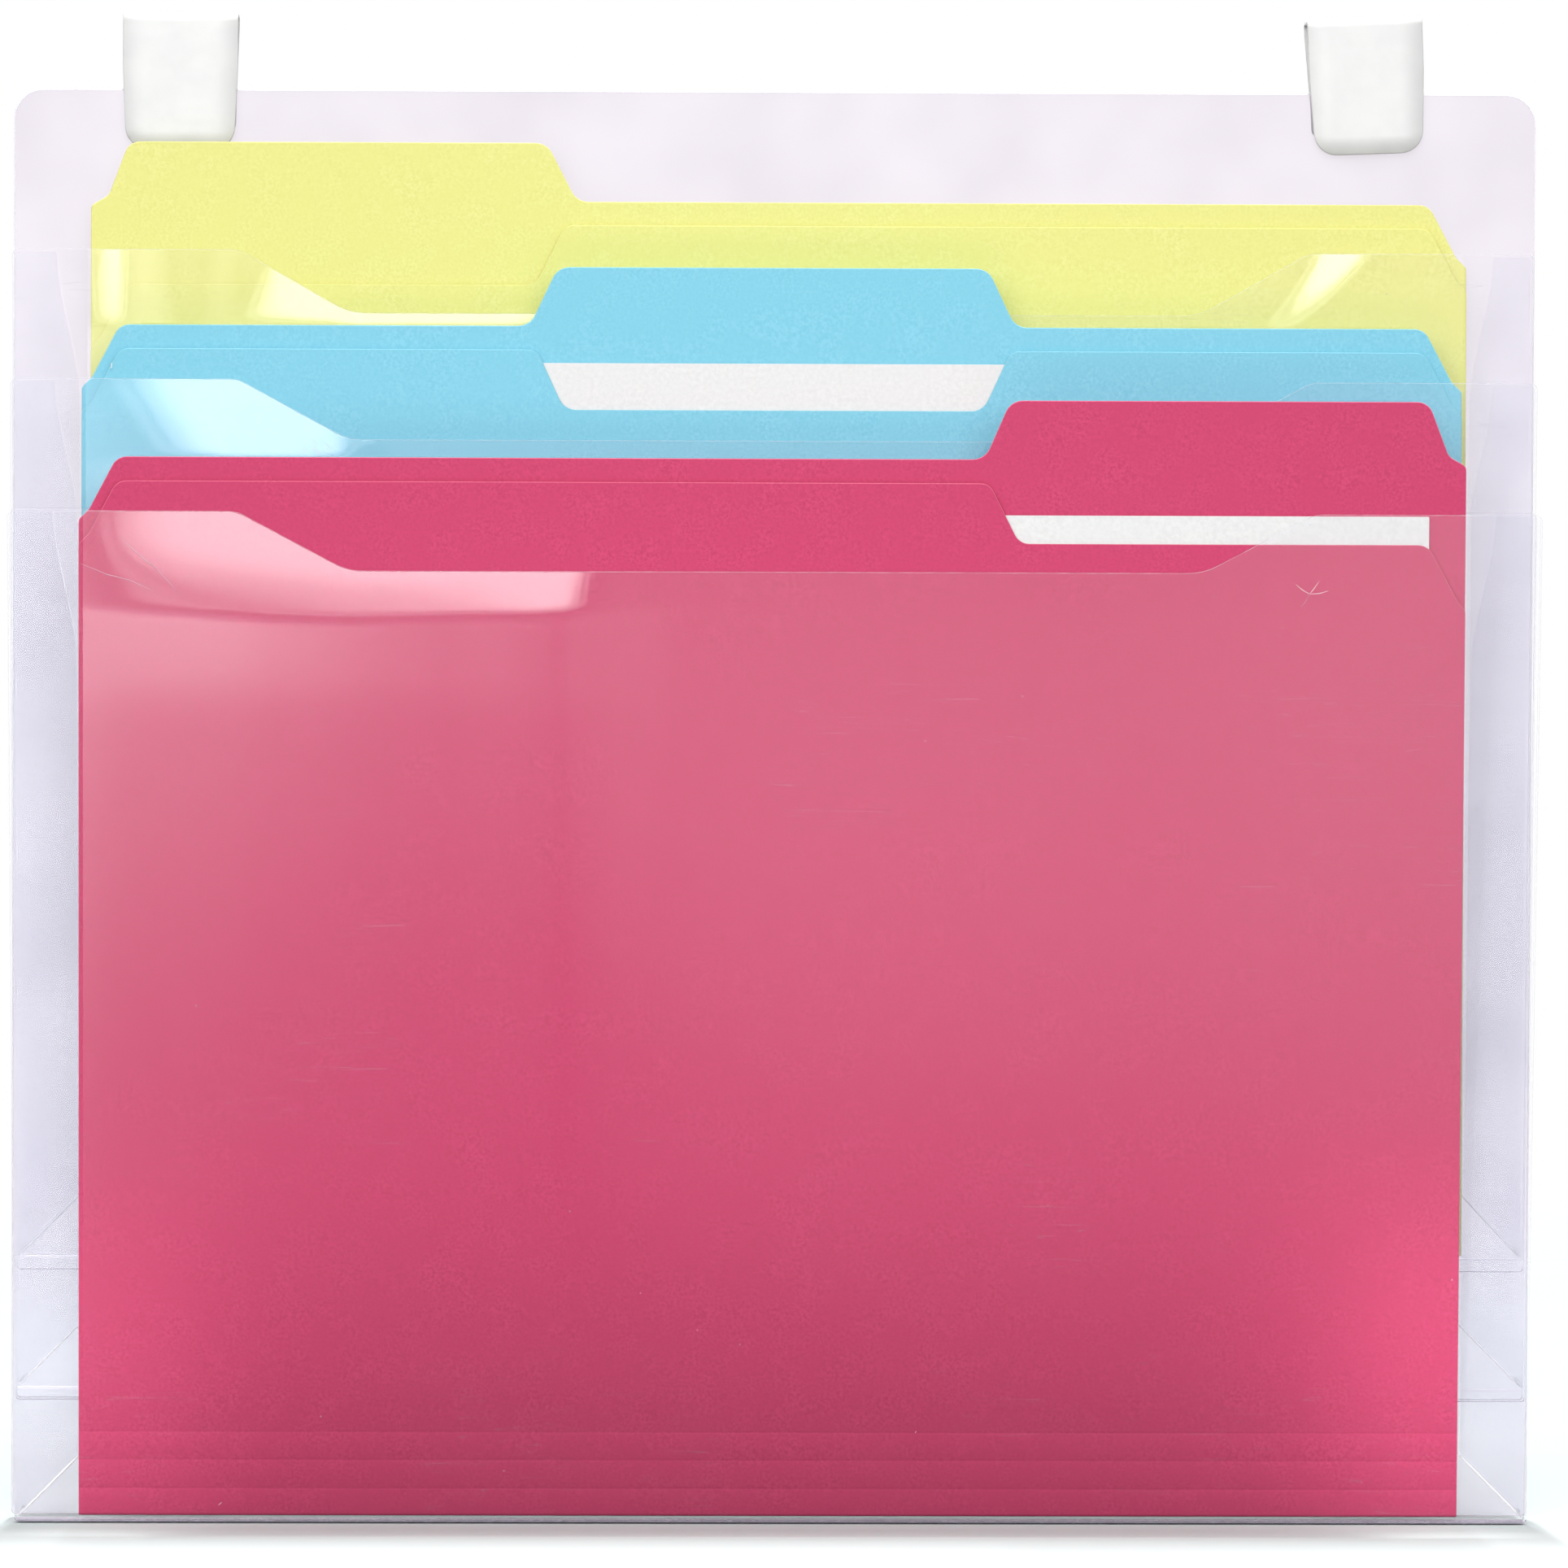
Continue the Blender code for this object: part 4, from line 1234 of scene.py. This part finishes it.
net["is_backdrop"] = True

# a low card behind the foot of the panel keeps light from running in below
bm = bmesh.new()
corners = [(-0.163, -0.1556), (0.163, -0.1556), (0.163, -0.085), (-0.163, -0.085)]
bm.faces.new([bm.verts.new((x, 0.0125, z)) for x, z in corners])
mesh = bpy.data.meshes.new("back_card")
bm.to_mesh(mesh)
bm.free()
back_card = bpy.data.objects.new("back_card", mesh)
scene.collection.objects.link(back_card)
m = Nodes("back_card_matt")
mesh.materials.append(
    m.done(m.principled(m.mix(m.noise(m.coords(), 0.8, 2.0), lin(0.30, 0.30, 0.31), lin(0.36, 0.36, 0.37)), 0.95))
)
back_card.visible_camera = False
back_card.visible_glossy = False
back_card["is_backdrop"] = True

# ------------------------------------------------------------------ camera

cam_data = bpy.data.cameras.new("camera")
cam_data.sensor_fit = "HORIZONTAL"
cam_data.sensor_width = 36.0
cam_data.lens = 275.3
cam_data.clip_start = 0.05
cam_data.clip_end = 50.0
cam = bpy.data.objects.new("camera", cam_data)
scene.collection.objects.link(cam)
pitch, roll, yaw = rad(0.89), rad(0.19), rad(-1.30)
rz = Matrix(((math.cos(yaw), math.sin(yaw), 0), (-math.sin(yaw), math.cos(yaw), 0), (0, 0, 1)))
rx = Matrix(((1, 0, 0), (0, math.cos(pitch), -math.sin(pitch)), (0, math.sin(pitch), math.cos(pitch))))
ry = Matrix(((math.cos(roll), 0, math.sin(roll)), (0, 1, 0), (-math.sin(roll), 0, math.cos(roll))))
right, ahead, above = (ry @ rx @ rz)[:]
cam.matrix_world = Matrix(
    (
        (right[0], above[0], -ahead[0], -56.6 * MM),
        (right[1], above[1], -ahead[1], -2609.9 * MM),
        (right[2], above[2], -ahead[2], 44.9 * MM),
        (0, 0, 0, 1),
    )
)
scene.camera = cam
scene.view_settings.view_transform = "Standard"
scene.view_settings.look = "None"
scene.cycles.transparent_max_bounces = 96
scene.cycles.max_bounces = 6
scene.cycles.diffuse_bounces = 3
scene.cycles.glossy_bounces = 2

low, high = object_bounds()
